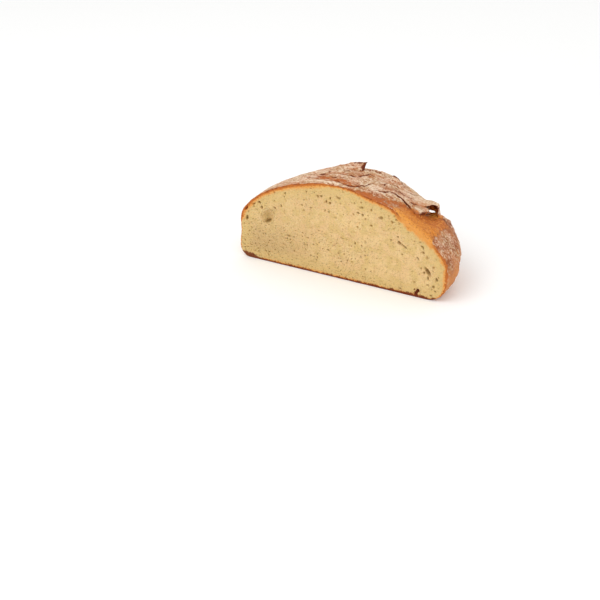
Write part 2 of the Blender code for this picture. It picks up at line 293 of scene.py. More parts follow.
print("outline of the cut:", len(outline), "spots,", np.round(np.ptp(outline, axis=0), 1), "mm wide and high")

# %% [markdown]
# Which points belong to the cut
#
# A point is crumb if it lies in the plane of the cut, or just behind it and well inside the outline, which
# is where the solid's larger holes are. Everything else is crust. The base is the flat underside.

# %% Sort the points
HOLE_REACH = 9.0                          # mm that the deepest hole goes behind the cut
near_cut = points[:, 1] < HOLE_REACH
to_rim = np.full(len(points), 0.0)
nearest_rim = points[:, [0, 2]].copy()
to_rim[near_cut], nearest_rim[near_cut] = distance_to_outline(points[near_cut, 0], points[near_cut, 2])
towards_middle = np.array([0.0, 40.0]) - nearest_rim
side = np.sum((points[:, [0, 2]] - nearest_rim) * towards_middle, axis=1)
is_cut = (points[:, 1] < 0.45 * VOXEL) | (near_cut & (to_rim > 1.6) & (side > 0.0))
is_base = (points[:, 2] < 0.45 * VOXEL) & ~is_cut
in_plane = points[:, 1] < 0.45 * VOXEL
points[in_plane, 1] = 0.0
points[is_base, 2] = 0.0
print("cut:", int(is_cut.sum()), " base:", int(is_base.sum()), " crust:", int((~is_cut & ~is_base).sum()))


def neighbours_mean(values):
    """For each point, the mean over the points that an edge joins it to."""
    total = np.zeros_like(values)
    np.add.at(total, edges[:, 0], values[edges[:, 1]])
    np.add.at(total, edges[:, 1], values[edges[:, 0]])
    return total / edge_count.reshape((-1,) + (1,) * (values.ndim - 1))


edge_count = np.bincount(edges.ravel(), minlength=len(points)).astype(float)

# %% [markdown]
# Softer edges
#
# Baking takes the sharpness off the crust, so each point moves towards the mean of its neighbours a few
# times. Three thin parts keep nearly all of their edge, or they would melt away: the curled end of the flap,
# called the hood below, the broken end of the ear on the crown, and the flake behind it.

# %% Smooth the crust
SMOOTHING_ROUNDS = 9
HOOD = (75.0, 50.0, 74.0)
EAR_END = (-4.0, 54.0, 103.0)
FLAKE = (34.0, 62.0, 92.0)
THIN_PARTS = ((HOOD, 19.0), (EAR_END, 13.0), (FLAKE, 11.0))     # middle and reach in mm
KEPT_SOFTNESS = 0.12                      # how much of the smoothing still reaches the thin parts
softness = np.ones(len(points))
for middle, reach in THIN_PARTS:
    from_middle = np.linalg.norm(points - middle, axis=1)
    softness = np.minimum(softness, smooth_step(reach * 0.8, reach, from_middle) + KEPT_SOFTNESS)
free = (~in_plane & ~is_base).astype(float)[:, None] * np.minimum(softness, 1.0)[:, None]
for _ in range(SMOOTHING_ROUNDS):
    points += (neighbours_mean(points) - points) * 0.5 * free
print("points that stay nearly sharp:", int((softness < 0.2).sum()))

# %% [markdown]
# Small pulls
#
# A few places of the torn crust sit a millimetre or so off the photograph. Pulling a soft handful of points
# does what a thumb does to wet dough: each pull has a middle, a reach and a shift, and it fades out smoothly.

# %% Pull a few places into line
PULLS = (     # middle, reach and shift, all in mm
    ((79.0, 50.0, 80.0), 5.5, (0.0, 0.0, -1.7)),      # the crest of the hood is flatter
    ((83.5, 50.5, 76.5), 3.6, (1.3, 0.0, 1.1)),       # and its right shoulder squarer
    ((76.5, 52.5, 80.0), 3.6, (0.0, 0.0, -0.9)),      # its crest slopes down to the right
    ((80.5, 52.0, 68.0), 3.4, (-1.6, 0.0, 0.0)),      # its wall is thick at its foot
    ((2.5, 56.0, 105.0), 3.2, (-1.6, 0.0, -0.8)),     # the ear's tip is blunt
    ((62.0, 54.0, 79.0), 6.0, (0.0, 0.0, 1.5)),       # the flap's back edge stands a little higher
    ((76.0, 40.0, 76.0), 4.0, (2.0, 0.3, 0.6)),       # the flap's end reaches further
    ((77.5, 58.5, 63.0), 4.5, (0.0, 0.0, 2.2)),       # the floor under the hood rises behind
    ((68.5, 63.5, 69.0), 4.5, (0.0, 0.0, -2.8)),      # and the hood's back edge hangs lower
    ((29.5, 64.0, 92.6), 3.0, (0.0, 0.5, 0.9)),       # the flake's edge stands off
    ((34.5, 65.5, 90.6), 3.5, (0.0, 0.5, 0.7)),
)
longest_pull = 0.0
for middle, reach, shift in PULLS:
    share = np.exp(-np.sum((points - middle) ** 2, axis=1) / reach ** 2)
    points += share[:, None] * np.array(shift)
    longest_pull = max(longest_pull, float(np.linalg.norm(shift) * share.max()))
print("pulls:", len(PULLS), "the longest moves a point by", round(longest_pull, 1), "mm")

# %% [markdown]
# The large hollow's edge
#
# The large hollow at the left of the cut has soft edges: the gas that made it pushed the crumb aside, and the
# knife only opened it. Here the points of the cut may move too, so that the solid's sharp edge rounds over.

# %% Soften the large hollow
HOLLOW = (-82.0, 53.5)                    # its middle, as x and z
SOFT_ROUNDS = 40
from_hollow = np.hypot(points[:, 0] - HOLLOW[0], points[:, 2] - HOLLOW[1])
yielding = (smooth_step(14.0, 9.0, from_hollow) * is_cut)[:, None]
for _ in range(SOFT_ROUNDS):
    points += (neighbours_mean(points) - points) * 0.5 * yielding
write_points(skin, points)
faces_out = normals_of(skin)
deepest = float(points[is_cut & (from_hollow < 9.0), 1].max())
print("deepest place of the hollow:", round(deepest, 1), "mm behind the cut")

# %% [markdown]
# The tear on the top
#
# The burst runs from a thin crack on the crown to a wide open patch at the right. On one side it has the
# lip of the flap, on the other the shore where the smooth burst dough meets floured crust again. Both lines
# follow the ones that shaped the solid. Seen from above they enclose the burst, so the distance to that
# closed line says what is burst and what is crust. A second, smaller burst lies behind the ear.

# %% Lines of the tear
TEAR_LIP = ((28, 20), (36, 26), (43, 30), (50, 30), (58, 27.5), (66, 24), (71.5, 24), (75, 28),
            (76.8, 36), (76.6, 45), (72.3, 56), (66.5, 67), (60.5, 79), (56, 88), (53, 94))
TEAR_SHORE = ((30, 17), (38, 20), (46, 20), (52, 14), (57, 4), (62, -6), (84, -9), (99, -5), (97.5, 4),
              (95.9, 12.6), (96, 25.5), (96.5, 45), (95, 57), (89.5, 65), (82, 73), (74, 85), (66, 92.5),
              (60, 97))
BACK_LIP = ((-58, 64), (-44, 64.5), (-28, 65), (-14, 64.5), (-3, 63), (8, 63.5), (20, 66))
BACK_SHORE = ((-60, 71), (-46, 77), (-30, 82), (-14, 84), (0, 83), (12, 80), (24, 77))


def curve_through(stops, steps=12):
    """Points close together on a smooth curve through the stops."""
    stops = np.array(stops, float)
    padded = np.vstack([stops[:1], stops, stops[-1:]])
    pieces = []
    for a, b, c, d in zip(padded, padded[1:], padded[2:], padded[3:]):
        t = np.linspace(0.0, 1.0, steps, endpoint=False)[:, None]
        pieces.append(0.5 * (2 * b + (c - a) * t + (2 * a - 5 * b + 4 * c - d) * t ** 2
                             + (3 * b - a - 3 * c + d) * t ** 3))
    return np.vstack(pieces + [stops[-1:]])


def distance_to_line(spots, line):
    """Distance from each spot to a line of points, and how far along it the nearest place is, 0 to 1."""
    best = np.full(len(spots), np.inf)
    where = np.zeros(len(spots))
    for index, (start, end) in enumerate(zip(line, line[1:])):
        run = end - start
        share = np.clip((spots - start) @ run / (run @ run), 0.0, 1.0)
        gap = np.linalg.norm(spots - start - share[:, None] * run, axis=1)
        closer = gap < best
        best[closer] = gap[closer]
        where[closer] = (index + share[closer]) / (len(line) - 1)
    return best, where


def inside_line(spots, line):
    """Whether each spot is inside a closed line, by counting crossings."""
    crossings = np.zeros(len(spots), dtype=int)
    for (ax, ay), (bx, by) in zip(line, np.roll(line, -1, axis=0)):
        if ay == by:
            continue
        spans = (spots[:, 1] < ay) != (spots[:, 1] < by)
        crossings += spans & (spots[:, 0] < ax + (spots[:, 1] - ay) * (bx - ax) / (by - ay))
    return crossings % 2 == 1


def patch_between(lip, shore, spots):
    """Signed distance to the patch between a lip and a shore: positive inside it."""
    line = np.vstack([lip, shore[::-1]])
    gap, _ = distance_to_line(spots, np.vstack([line, line[:1]]))
    return np.where(inside_line(spots, line), gap, -gap)


lip_line = curve_through(TEAR_LIP, 5)
shore_line = curve_through(TEAR_SHORE, 5)
back_lip_line = curve_through(BACK_LIP, 5)
back_shore_line = curve_through(BACK_SHORE, 5)
plan = points[:, :2]
high = points[:, 2] > 38.0
in_burst = np.full(len(points), -20.0)
in_back_burst = np.full(len(points), -20.0)
in_burst[high] = patch_between(lip_line, shore_line, plan[high])
in_back_burst[high] = patch_between(back_lip_line, back_shore_line, plan[high])
to_lip = np.full(len(points), 50.0)
along_lip = np.zeros(len(points))
to_lip[high], along_lip[high] = distance_to_line(plan[high], lip_line)
print("burst points:", int((in_burst > 0).sum()), " behind the ear:", int((in_back_burst > 0).sum()))

# %% [markdown]
# Height over the plain dome
#
# The flap's curled end, the hood, stands over the burst, so seen from above both are in the same place. The
# height over the plain dome of the dough tells them apart: the hood stands over it and the burst lies under
# it. The tear opens slowly from the crown to the right, and its first stretch is still a floured crack.

# %% The plain dome and the burst
CROWN = (-4.3, 15.0)
REACHES = {"right": 120.0, "left": 115.4, "back": 99.8, "front": 139.8}
WIDEST_LEVEL = 37.0
DOME_HEIGHT = 100.9


def dome_height(x, y):
    """Height of the plain dome over a place, as the solid has it without its swellings."""
    across = (x - CROWN[0]) / np.where(x > CROWN[0], REACHES["right"], REACHES["left"])
    deep = (y - CROWN[1]) / np.where(y > CROWN[1], REACHES["back"], REACHES["front"])
    out = np.clip(np.hypot(across, deep), 0.0, 1.0)
    flat = np.hypot(x - CROWN[0], y - CROWN[1]) + 1e-6
    c2 = ((x - CROWN[0]) / flat) ** 2
    power = np.where(x > CROWN[0], 1.52, 1.82) * c2 + 2.2 * (1.0 - c2)
    return WIDEST_LEVEL + (DOME_HEIGHT - WIDEST_LEVEL) * (1.0 - out ** power) ** (1.0 / power)


over_dome = points[:, 2] - dome_height(points[:, 0], points[:, 1])
on_hood = (points[:, 0] > 66) & (points[:, 1] > 37) & (points[:, 1] < 68) & (over_dome > 0.8)
under_hood = on_hood & (faces_out[:, 2] < -0.1)
opened = smooth_step(48.0, 60.0, points[:, 0] - 0.45 * points[:, 1] + 5.0 * noise(points, 6.0, 13))
opened = np.maximum(opened, smooth_step(63.0, 67.0, points[:, 0]))
burst_edge = in_burst + 2.2 * noise(points, 4.5, 11) + noise(points, 1.6, 14)
burst = smooth_step(-1.6, 1.6, burst_edge) * ~on_hood * opened
closing = 11.0 * smooth_step(-34.0, 2.0, points[:, 0])
back_burst_edge = in_back_burst - closing + 1.6 * noise(points, 5.0, 12)
burst = np.maximum(burst, smooth_step(-0.8, 1.2, back_burst_edge))
sunken = smooth_step(-0.6, -1.6, over_dome) * (in_burst > -6.5) * (points[:, 0] > 58.0)
burst = np.maximum(burst, sunken * opened)
burst *= ~is_cut
print("mean height over the dome at the hood:", round(float(over_dome[on_hood].mean()), 1), "mm")

# %% [markdown]
# Relief of the crust
#
# Four kinds of relief lie on each other. Slow lumps come from shaping by hand. Long folds lie along the top,
# where the skin of the dough slid and dried under its flour. Fine crackle covers the floured crust. Cracks
# and pits are narrow and deep, and those below are named because they show in the photograph. Burst dough has
# none of the folds: it is smooth with a fine grain and one red ridge.

# %% Named cracks
CRACKS = (    # the line as x, y seen from above, then its depth and half width in mm
    (((-14, 27), (-8.6, 29), (-3, 30.7)), 0.9, 0.8),
    (((-9, 9), (-2, 8.4), (4.3, 7.2), (9.2, 6.9), (13.2, 8.9), (15.9, 14.8), (20, 19.6), (22, 26.2),
      (23, 30.3)), 1.2, 0.9),
    (((27, 35.7), (30.7, 37.1), (33.4, 45.4), (36, 46.7), (41, 52)), 1.1, 0.8),
    (((-9.5, 11.8), (-6.3, 11.8), (-2, 13.4)), 0.8, 1.4),
    (((-46, 16), (-34, 17), (-22, 20), (-12, 19.5), (-4, 22)), 0.9, 0.8),
    (((-62, 24), (-50, 27), (-38, 28)), 0.7, 0.8),
    (((-24, 40), (-12, 43), (-4, 47)), 0.9, 0.8),
    (((40, 38), (47, 42), (54, 41), (60, 44)), 0.9, 0.8),
    (((48, 52), (56, 56), (62, 64)), 0.9, 0.9),
    (((61.5, 34), (64, 35.8), (66, 37)), 0.9, 1.0),
    (((-88, 40), (-76, 46), (-66, 58), (-60, 70)), 1.1, 1.0),
)
PITS = (      # short and deep, and they keep to their line
    (((-34.4, 25.8), (-32, 27.6), (-30.0, 29.4)), 0.9, 2.7),
    (((-28.6, 33), (-26.4, 34.6)), 0.5, 1.3),
    (((-2.6, 30.6), (0.5, 29.2), (3.6, 27.8)), 0.7, 1.7),
    (((5.8, 33), (7, 37), (8.4, 41.1), (10, 46)), 0.7, 1.8),
    (((9.5, 45.6), (12.5, 47), (17, 47.6)), 0.6, 1.3),
    (((3, 6.3), (7.4, 6.2), (11, 7.8), (14.3, 9.6), (17.7, 15.7)), 0.6, 1.1),
    (((34, 44), (38, 47), (42, 49)), 0.6, 1.3),
)
LIP_CRACK = (((29, 19.5), (33.9, 22.4), (41.8, 30.2), (49.6, 31.2), (57, 28.6), (65, 24.8)), 1.7, 1.2)
BURST_CRACKS = (      # the red ridge on the burst dough, and a faint line beside it
    (((84, 49.5), (88.3, 50.4), (90.7, 51.0), (93.0, 50.7), (95.0, 48.0)), 0.9, 2.0),
    (((80, 35), (84, 40), (84.5, 45)), 0.5, 0.7),
)
wander = np.stack([noise(points, 7.0, 21), noise(points, 7.0, 22)], axis=1) * 1.8
wander += np.stack([noise(points, 2.5, 23), noise(points, 2.5, 24)], axis=1) * 0.9


def grooves(lines, straying=1.0):
    """Depth in mm of the cracks at each point, and how much of a crack it is from 0 to 1."""
    depths = np.zeros(len(points))
    shares = np.zeros(len(points))
    for stops, depth, half_width in lines:
        line = curve_through(stops, 4)
        reach = np.ptp(line, axis=0).max() / 2 + 8.0
        near = high & (np.abs(plan - (line.max(axis=0) + line.min(axis=0)) / 2).max(axis=1) < reach)
        gap, where = distance_to_line(plan[near] + wander[near] * straying, line)
        taper = np.sin(np.pi * np.clip(where, 0.02, 0.98)) ** 0.5
        groove = np.clip(1.0 - gap / (half_width * (0.4 + 0.6 * taper)), 0.0, 1.0) * taper
        depths[near] = np.maximum(depths[near], depth * groove)
        shares[near] = np.maximum(shares[near], groove)
    return depths, shares


crack_depth, crack = grooves(CRACKS)
pit_depth, pit = grooves(PITS, 0.45)
crack_depth = np.maximum(crack_depth, pit_depth)
crack = np.maximum(crack, pit)
ridge_depth, ridge_crack = grooves(BURST_CRACKS)
lip_depth, lip_crack = grooves((LIP_CRACK,), 0.25)
lip_depth *= over_dome < 1.5
print("cracked points:", int((crack > 0.1).sum()))

# %% [markdown]
# Plates and folds
#
# The floured skin dried before the dough under it had stopped growing, so it is broken into long plates with
# fine cracks between them. The border of scattered cells gives such plates when the cells are stretched along
# the loaf. A few folds are named: the pale one near the cut is the longest line on the left half.

# %% Plates and folds
PALE_FOLD = ((-66, 10), (-53, 7.5), (-41, 7), (-29, 8.2), (-18, 4.6), (-9.6, 5.0), (0, 4.2), (10, 4.4))
FOLDS = (     # line, height and half width in mm
    (PALE_FOLD, 1.0, 1.5),
    (((-30, 21), (-18, 24), (-8, 25), (2, 26)), 0.9, 1.4),
    (((-50, 36), (-34, 34), (-20, 36), (-8, 38)), 0.9, 1.6),
    (((20, 36), (30, 41), (40, 46), (48, 50)), 0.8, 1.5),
    (((36, 22), (41, 17), (47, 17), (50, 21), (47, 25), (41, 25)), 0.7, 1.0),
    (((-20, 51), (-8, 52), (0, 52)), 0.6, 1.2),
)
warped = points + np.stack([noise(points, 18.0, seed) for seed in (31, 32, 33)], axis=1) * 7.0
warped += np.stack([noise(points, 5.0, seed) for seed in (34, 35, 36)], axis=1) * 1.2
top = smooth_step(60.0, 88.0, points[:, 2])
plate_gap = np.full(len(points), 5.0)
on_crust = ~is_cut & ~is_base
plate_gap[on_crust] = plate_edges(warped[on_crust], (17.0, 6.0, 6.5), 37)
fine_gap = np.full(len(points), 5.0)
fine_gap[on_crust] = plate_edges(warped[on_crust], (5.2, 3.0, 3.2), 38)
broken = smooth_step(-0.35, 0.45, noise(points, 22.0, 39))
plate_crack = np.clip(1.0 - plate_gap / 0.9, 0.0, 1.0) * (0.35 + 0.65 * broken)
fine_crack = np.clip(1.0 - fine_gap / 0.6, 0.0, 1.0) * smooth_step(0.1, 0.6, noise(points, 12.0, 40) + 0.25)
fold = np.zeros(len(points))
fold_share = np.zeros(len(points))
for stops, height, half_width in FOLDS:
    line = curve_through(stops, 4)
    gap, where = distance_to_line(plan + wander * 0.5, line)
    taper = np.sin(np.pi * np.clip(where, 0.03, 0.97)) ** 0.5
    bulge = np.exp(-(gap / half_width) ** 2) * taper * high
    fold = np.maximum(fold, height * bulge)
    fold_share = np.maximum(fold_share, bulge)
folds = ridges(warped, (40.0, 9.0, 10.0), 41) * 0.8 + ridges(warped, (19.0, 4.6, 5.2), 42) * 0.35
print("on a border of plates:", int((plate_crack > 0.1).sum()),
      " on a named fold:", int((fold_share > 0.3).sum()))

# %% [markdown]
# All relief together
#
# Everything adds up to one push for each point, in millimetres along its normal. On the left the skin is
# calmer, the hood is too thin for deep relief, and the foot is pressed smooth. The lip of the flap curls up a
# little, and the burst dough rises to it where the two still hold together. A short row of dark specks
# stands up behind the crown.

# %% Sum of the relief
slow = noise(points, 26.0, 43) * 0.8 + noise(points, 11.0, 44) * 0.5
blisters = np.clip(noise(points, 6.5, 45), 0.0, 1.0) ** 1.5 * 1.3
grit = noise(points, 2.2, 46) * 0.18 + noise(points, 1.2, 47) * 0.12
grit += np.maximum(noise(points, 4.0, 51), 0.0) * 0.5
NUB = (91.5, 59.5, 57.5)                  # a small bump on the outline behind the burst
nub = np.exp(-(np.linalg.norm(points - NUB, axis=1) / 2.4) ** 2) * 1.6
smooth_left = smooth_step(-20.0, -60.0, points[:, 0])
folds *= (0.16 + 0.26 * top) * (1.0 - 0.6 * smooth_left)
floured_relief = slow + blisters * 0.6 + folds + fold + grit * (1.25 - 0.6 * smooth_left) - 0.45
floured_relief -= (plate_crack * 0.45 + fine_crack * 0.12) * (1.0 - 0.6 * smooth_left)
burst_relief = noise(points, 9.0, 48) * 0.45 + noise(points, 2.4, 49) * 0.22 + noise(points, 1.2, 50) * 0.14
lip_curl = 1.3 * np.exp(-((to_lip - 1.8) / 1.9) ** 2) * smooth_step(0.5, -0.5, in_burst)
lip_curl *= smooth_step(0.08, 0.3, along_lip) * smooth_step(0.8, 0.55, along_lip)
push = floured_relief * (1.0 - burst) + (burst_relief - ridge_depth) * burst - crack_depth * (1.0 - burst)
step_filled = 1.7 * np.exp(-(to_lip / 4.5) ** 2) * smooth_step(0.06, 0.14, along_lip)
step_filled *= smooth_step(0.43, 0.33, along_lip) * (in_burst > 0.3) * (over_dome < 0.5)
back_specks, _ = distance_to_line(plan, curve_through(((3, 60), (9, 60.3), (15, 61.5)), 5))
back_specks = smooth_step(2.2, 0.8, back_specks) * smooth_step(0.0, 0.25, noise(points, 2.4, 105)) * high
push += lip_curl - lip_depth + nub + step_filled + back_specks * 0.8
near_hood = smooth_step(24.0, 15.0, np.linalg.norm(points - HOOD, axis=1))
push *= 1.0 - 0.7 * near_hood
push *= smooth_step(0.0, 9.0, points[:, 2]) * 0.85 + 0.15
lowest, highest = float(push[on_crust].min()), float(push[on_crust].max())
print("relief from", round(lowest, 2), "to", round(highest, 2), "mm,",
      "mean", round(float(push[on_crust].mean()), 2))

# %% [markdown]
# Pores of the crumb
#
# The crumb is a sponge. In the cut its cells show as small dark mouths, mostly under a millimetre wide and
# longer than they are high, with a few larger ones near the top and at the right end. Every pore is pushed
# into the cut as a real dent. Scattering them one to a cell of a jittered grid keeps them apart, as the walls
# between real cells do. Three such grids lie on each other, one for each size of pore.

# %% Pore field


def pores(x, z, cell, seed, small, large, chance, flat=0.75):
    """Depth from 0 to 1 of the pore at each place: at most one pore to each cell of the grid."""
    deepest = np.zeros(len(x))
    home = np.floor(np.stack([x, z], axis=1) / cell).astype(np.int64)
    for step_x in (-1, 0, 1):
        for step_z in (-1, 0, 1):
            cells = home + (step_x, step_z)
            throws = [CHANCES[cell_number(cells, seed + k)] for k in range(5)]
            middle_x = (cells[:, 0] + 0.15 + 0.7 * throws[0]) * cell
            middle_z = (cells[:, 1] + 0.15 + 0.7 * throws[1]) * cell
            size = small + (large - small) * throws[2] ** 2.5
            size = np.where(throws[3] < chance, size, 1e-3)
            angle = (throws[4] - 0.5) * 2.4
            dx = x - middle_x
            dz = z - middle_z
            longer = dx * np.cos(angle) + dz * np.sin(angle)
            shorter = (dz * np.cos(angle) - dx * np.sin(angle)) / flat
            gap = np.hypot(longer, shorter) / size
            deepest = np.maximum(deepest, smooth_step(1.15, 0.55, gap))
    return deepest


pore = np.zeros(len(points))
hole_depth = np.zeros(len(points))
x, z = points[is_cut, 0], points[is_cut, 2]
jitter = noise(points[is_cut], 2.4, 61) * 0.35
coarse_zone = smooth_step(60.0, 85.0, z) * 0.5 + smooth_step(70.0, 105.0, x) * 0.6
coarse_zone += smooth_step(-85.0, -110.0, x) * 0.3
large_pores = pores(x + jitter, z - jitter, 7.0, 70, 0.8, 1.6, 0.32)
large_pores *= smooth_step(0.1, 0.5, coarse_zone + 0.25)
medium_pores = pores(x + jitter, z - jitter, 3.4, 80, 0.45, 1.1, 0.5)
busy = 0.6 + 0.6 * smooth_step(58.0, 38.0, z) * smooth_step(60.0, 20.0, x)
small_pores = pores(x, z + jitter, 1.8, 90, 0.32, 0.66, 0.6)
pore[is_cut] = np.maximum.reduce([large_pores * 0.65, medium_pores * 0.7 * busy, small_pores * 0.5 * busy])
hole_depth[is_cut] = np.maximum.reduce([large_pores * 1.2, medium_pores * busy, small_pores * 0.6 * busy])
print("small pores cover", round(float((pore[in_plane] > 0.3).mean()) * 100, 1), "% of the cut")

# %% [markdown]
# Larger holes
#
# These are read from the photograph one by one. Each is an ellipse that leans its own way, with an uneven
# border. None of them may break through the rim, so all pores fade out next to the crust.

# %% Holes read from the photograph
HOLES = (     # larger pores read from the photograph: x, z, half width, half height, depth, turn in degrees
    (-109.1, 56.5, 0.9, 2.6, 1.6, -38),
    (-109.2, 46.0, 1.5, 3.2, 2.0, -15),
    (-99.5, 63.5, 2.4, 0.9, 1.8, 30),
    (-92.5, 66.5, 1.9, 1.3, 1.6, 0),
    (-90.0, 61.2, 1.2, 1.8, 1.6, -10),
    (-73.9, 63.7, 2.0, 1.1, 1.6, -35),
    (-65.9, 67.5, 1.0, 1.6, 1.4, 20),
    (-60.8, 82.4, 1.4, 0.9, 1.4, 30),
    (-57.0, 31.7, 0.9, 0.8, 1.4, 0),
    (-83.8, 11.9, 1.3, 0.8, 1.5, 10),
    (-41.4, 72.9, 1.2, 1.0, 1.2, -30),
    (-36.8, 29.8, 0.9, 1.1, 1.5, 0),
    (-35.6, 88.1, 1.1, 1.0, 1.2, 0),
    (-23.0, 85.8, 1.6, 1.1, 1.2, -30),
    (-19.1, 86.4, 1.7, 1.2, 1.3, 0),
    (-13.6, 82.0, 0.9, 1.8, 1.6, 0),
    (-12.4, 29.5, 1.6, 0.9, 1.2, 0),
    (-9.5, 81.0, 1.1, 1.6, 1.7, -25),
    (-9.1, 85.9, 1.2, 1.4, 1.6, 0),
    (0.3, 88.0, 2.0, 1.3, 0.9, 0),
    (18.1, 43.4, 0.8, 1.6, 1.5, -10),
    (21.2, 76.6, 1.6, 1.0, 1.4, 0),
    (25.5, 82.8, 1.4, 1.3, 0.9, 0),
    (26.1, 75.2, 1.2, 1.3, 1.6, -30),
    (29.2, 71.6, 1.3, 0.8, 1.2, 0),
    (35.4, 82.1, 1.1, 1.5, 0.9, 0),
    (35.4, 66.0, 1.4, 1.2, 1.0, 0),
    (46.0, 76.1, 1.9, 1.6, 1.0, 0),
    (56.5, 55.2, 1.1, 1.0, 1.4, 0),
    (57.3, 73.8, 0.9, 1.4, 1.2, 20),
    (61.6, 77.0, 1.4, 0.9, 1.4, -20),
    (63.7, 59.9, 1.1, 1.0, 1.2, -30),
    (65.1, 54.1, 1.8, 1.4, 2.2, -30),
    (70.3, 51.7, 4.4, 0.7, 1.6, -33),
    (68.6, 42.7, 1.5, 0.8, 1.2, -20),
    (84.8, 41.9, 2.2, 0.7, 1.4, -55),
    (88.9, 54.8, 2.0, 0.9, 1.5, -30),
    (90.0, 49.0, 1.5, 1.1, 1.4, -25),
    (91.6, 28.1, 1.0, 1.6, 1.2, 0),
    (95.1, 30.3, 2.0, 5.4, 1.8, 36),
    (95.8, 23.1, 1.0, 2.2, 1.4, 10),
    (99.7, 5.1, 1.6, 0.8, 1.5, -8),
    (101.7, 15.4, 1.3, 1.5, 1.4, -30),
    (103.9, 10.6, 1.2, 0.9, 1.6, 0),
    (104.7, 23.7, 1.0, 2.1, 1.8, 15),
    (67.5, 5.2, 1.6, 0.7, 1.4, -8),
    (84.2, 3.4, 1.5, 2.4, 1.6, 10),
)
for hole_x, hole_z, half_width, half_height, depth, turned in HOLES:
    angle = math.radians(turned)
    dx = x - hole_x + jitter
    dz = z - hole_z - jitter
    longer = (dx * math.cos(angle) + dz * math.sin(angle)) / half_width
    shorter = (dz * math.cos(angle) - dx * math.sin(angle)) / half_height
    mouth = smooth_step(1.2, 0.6, np.hypot(longer, shorter))
    hole_depth[is_cut] = np.maximum(hole_depth[is_cut], mouth * depth)
    pore[is_cut] = np.maximum(pore[is_cut], mouth)
rim_guard = smooth_step(0.8, 2.4, to_rim)
pore *= rim_guard
print("holes:", len(HOLES), " points in them:", int((pore > 0.7).sum()))

# %% [markdown]
# Shade in the large hollow
#
# The hollow's low left wall shades itself, and light falls on its upper right wall. Around its mouth the
# crumb is drawn in to a wide, shallow dent.

# %% Shade in the hollow
DENT = (-82.0, 54.0)                      # its middle, as x and z
DENT_LEAN = (0.82, 0.57)                  # the dent is longer this way, up and to the right
behind_cut = np.where(is_cut, points[:, 1], 0.0)
up_right = (points[:, 0] - HOLLOW[0]) * 0.75 + (points[:, 2] - HOLLOW[1]) * 0.65
shaded = 0.12 + 0.88 * smooth_step(5.0, -6.0, up_right) + smooth_step(16.0, 20.0, from_hollow)
blotch = 1.0 + 0.35 * noise(points, 5.0, 63)
pore = np.maximum(pore, smooth_step(0.6, 6.5, behind_cut) * 0.95 * np.minimum(shaded, 1.0) * blotch)
dx = points[:, 0] - DENT[0]
dz = points[:, 2] - DENT[1]
longer = dx * DENT_LEAN[0] + dz * DENT_LEAN[1]
shorter = (dz * DENT_LEAN[0] - dx * DENT_LEAN[1]) * 1.35
dent = smooth_step(12.5, 5.0, np.hypot(longer, shorter) + noise(points, 6.0, 62) * 2.0) * in_plane
hole_depth += dent * 1.9
pore = np.maximum(pore, dent * (0.16 + 0.36 * smooth_step(4.0, -6.0, up_right)))
hole_depth *= rim_guard
print("all pores cover", round(float((pore[in_plane] > 0.5).mean()) * 100, 1), "% of the cut")

# %% [markdown]
# Bake the relief into the skin
#
# The crust moves along its own normals. Near the cut the movement stays in the plane of the cut, and a few
# millimetres of crumb follow it, so that the edge stays clean. The crumb's pores go straight back. The sponge
# between them is a little uneven too, because a bread knife tears as much as it cuts.

# %% Move the points
CUT_FADE = 3.0                            # mm behind the cut over which the crust's relief calms down
PAST_BOX = 0.6                            # mm that the relief may go past the solid's box
outwards = faces_out.copy()
calm = smooth_step(0.0, CUT_FADE, points[:, 1])
outwards[:, 1] *= calm
outwards /= np.maximum(np.linalg.norm(outwards, axis=1), 1e-6)[:, None]
rim_direction = nearest_rim - points[:, [0, 2]]
rim_direction /= np.maximum(np.linalg.norm(rim_direction, axis=1), 1e-6)[:, None]
moved = points.copy()
crust = ~is_cut & ~is_base
moved[crust] += outwards[crust] * (push * (0.3 + 0.7 * calm))[crust, None]
follow = in_plane & (to_rim < CUT_FADE)
carried = (push * 0.3 * (1.0 - to_rim / CUT_FADE))[:, None] * rim_direction
moved[follow, 0] += carried[follow, 0]
moved[follow, 2] += carried[follow, 1]
tooth = np.clip(noise(points, 1.3, 101) * 0.10 + noise(points, 4.5, 102) * 0.10 + 0.08, 0.0, 0.4)
moved[is_cut, 1] += hole_depth[is_cut] + (tooth * rim_guard)[is_cut]
moved[:, 2] = np.maximum(moved[:, 2], 0.0)
low_limit = (np.array(solid_low) - np.array(foot)) / MM
high_limit = (np.array(solid_high) - np.array(foot)) / MM
moved = np.clip(moved, low_limit - PAST_BOX, high_limit + PAST_BOX)
moved[:, 1] = np.maximum(moved[:, 1], 0.0)
write_points(skin, moved)
print("furthest that a point moved:", round(float(np.linalg.norm(moved - points, axis=1).max()), 1), "mm")

# %% [markdown]
# Hollows and crests
#
# Flour stays on crests and rubs off them last, and the hollows get painted shade. How far a point lies below
# the mean of its surroundings says which it is, and the materials use it.

# %% Measure the hollows
normals = normals_of(skin)
mean = moved
for _ in range(6):
    mean = neighbours_mean(mean)
fine_hollow = np.einsum("ij,ij->i", mean - moved, normals)
for _ in range(30):
    mean = neighbours_mean(mean)
wide_hollow = np.einsum("ij,ij->i", mean - moved, normals)
print("hollows:", np.round(np.percentile(fine_hollow[crust], (5, 50, 95)), 3), "mm fine,",
      np.round(np.percentile(wide_hollow[crust], (5, 50, 95)), 3), "mm wide")

# %% [markdown]
# Fewer triangles where nothing happens
#
# The flat base and the calm stretches don't need half-millimetre triangles. Decimating keeps the detail where
# the surface bends. Each point that is left takes its masks from the nearest point of the fine skin.

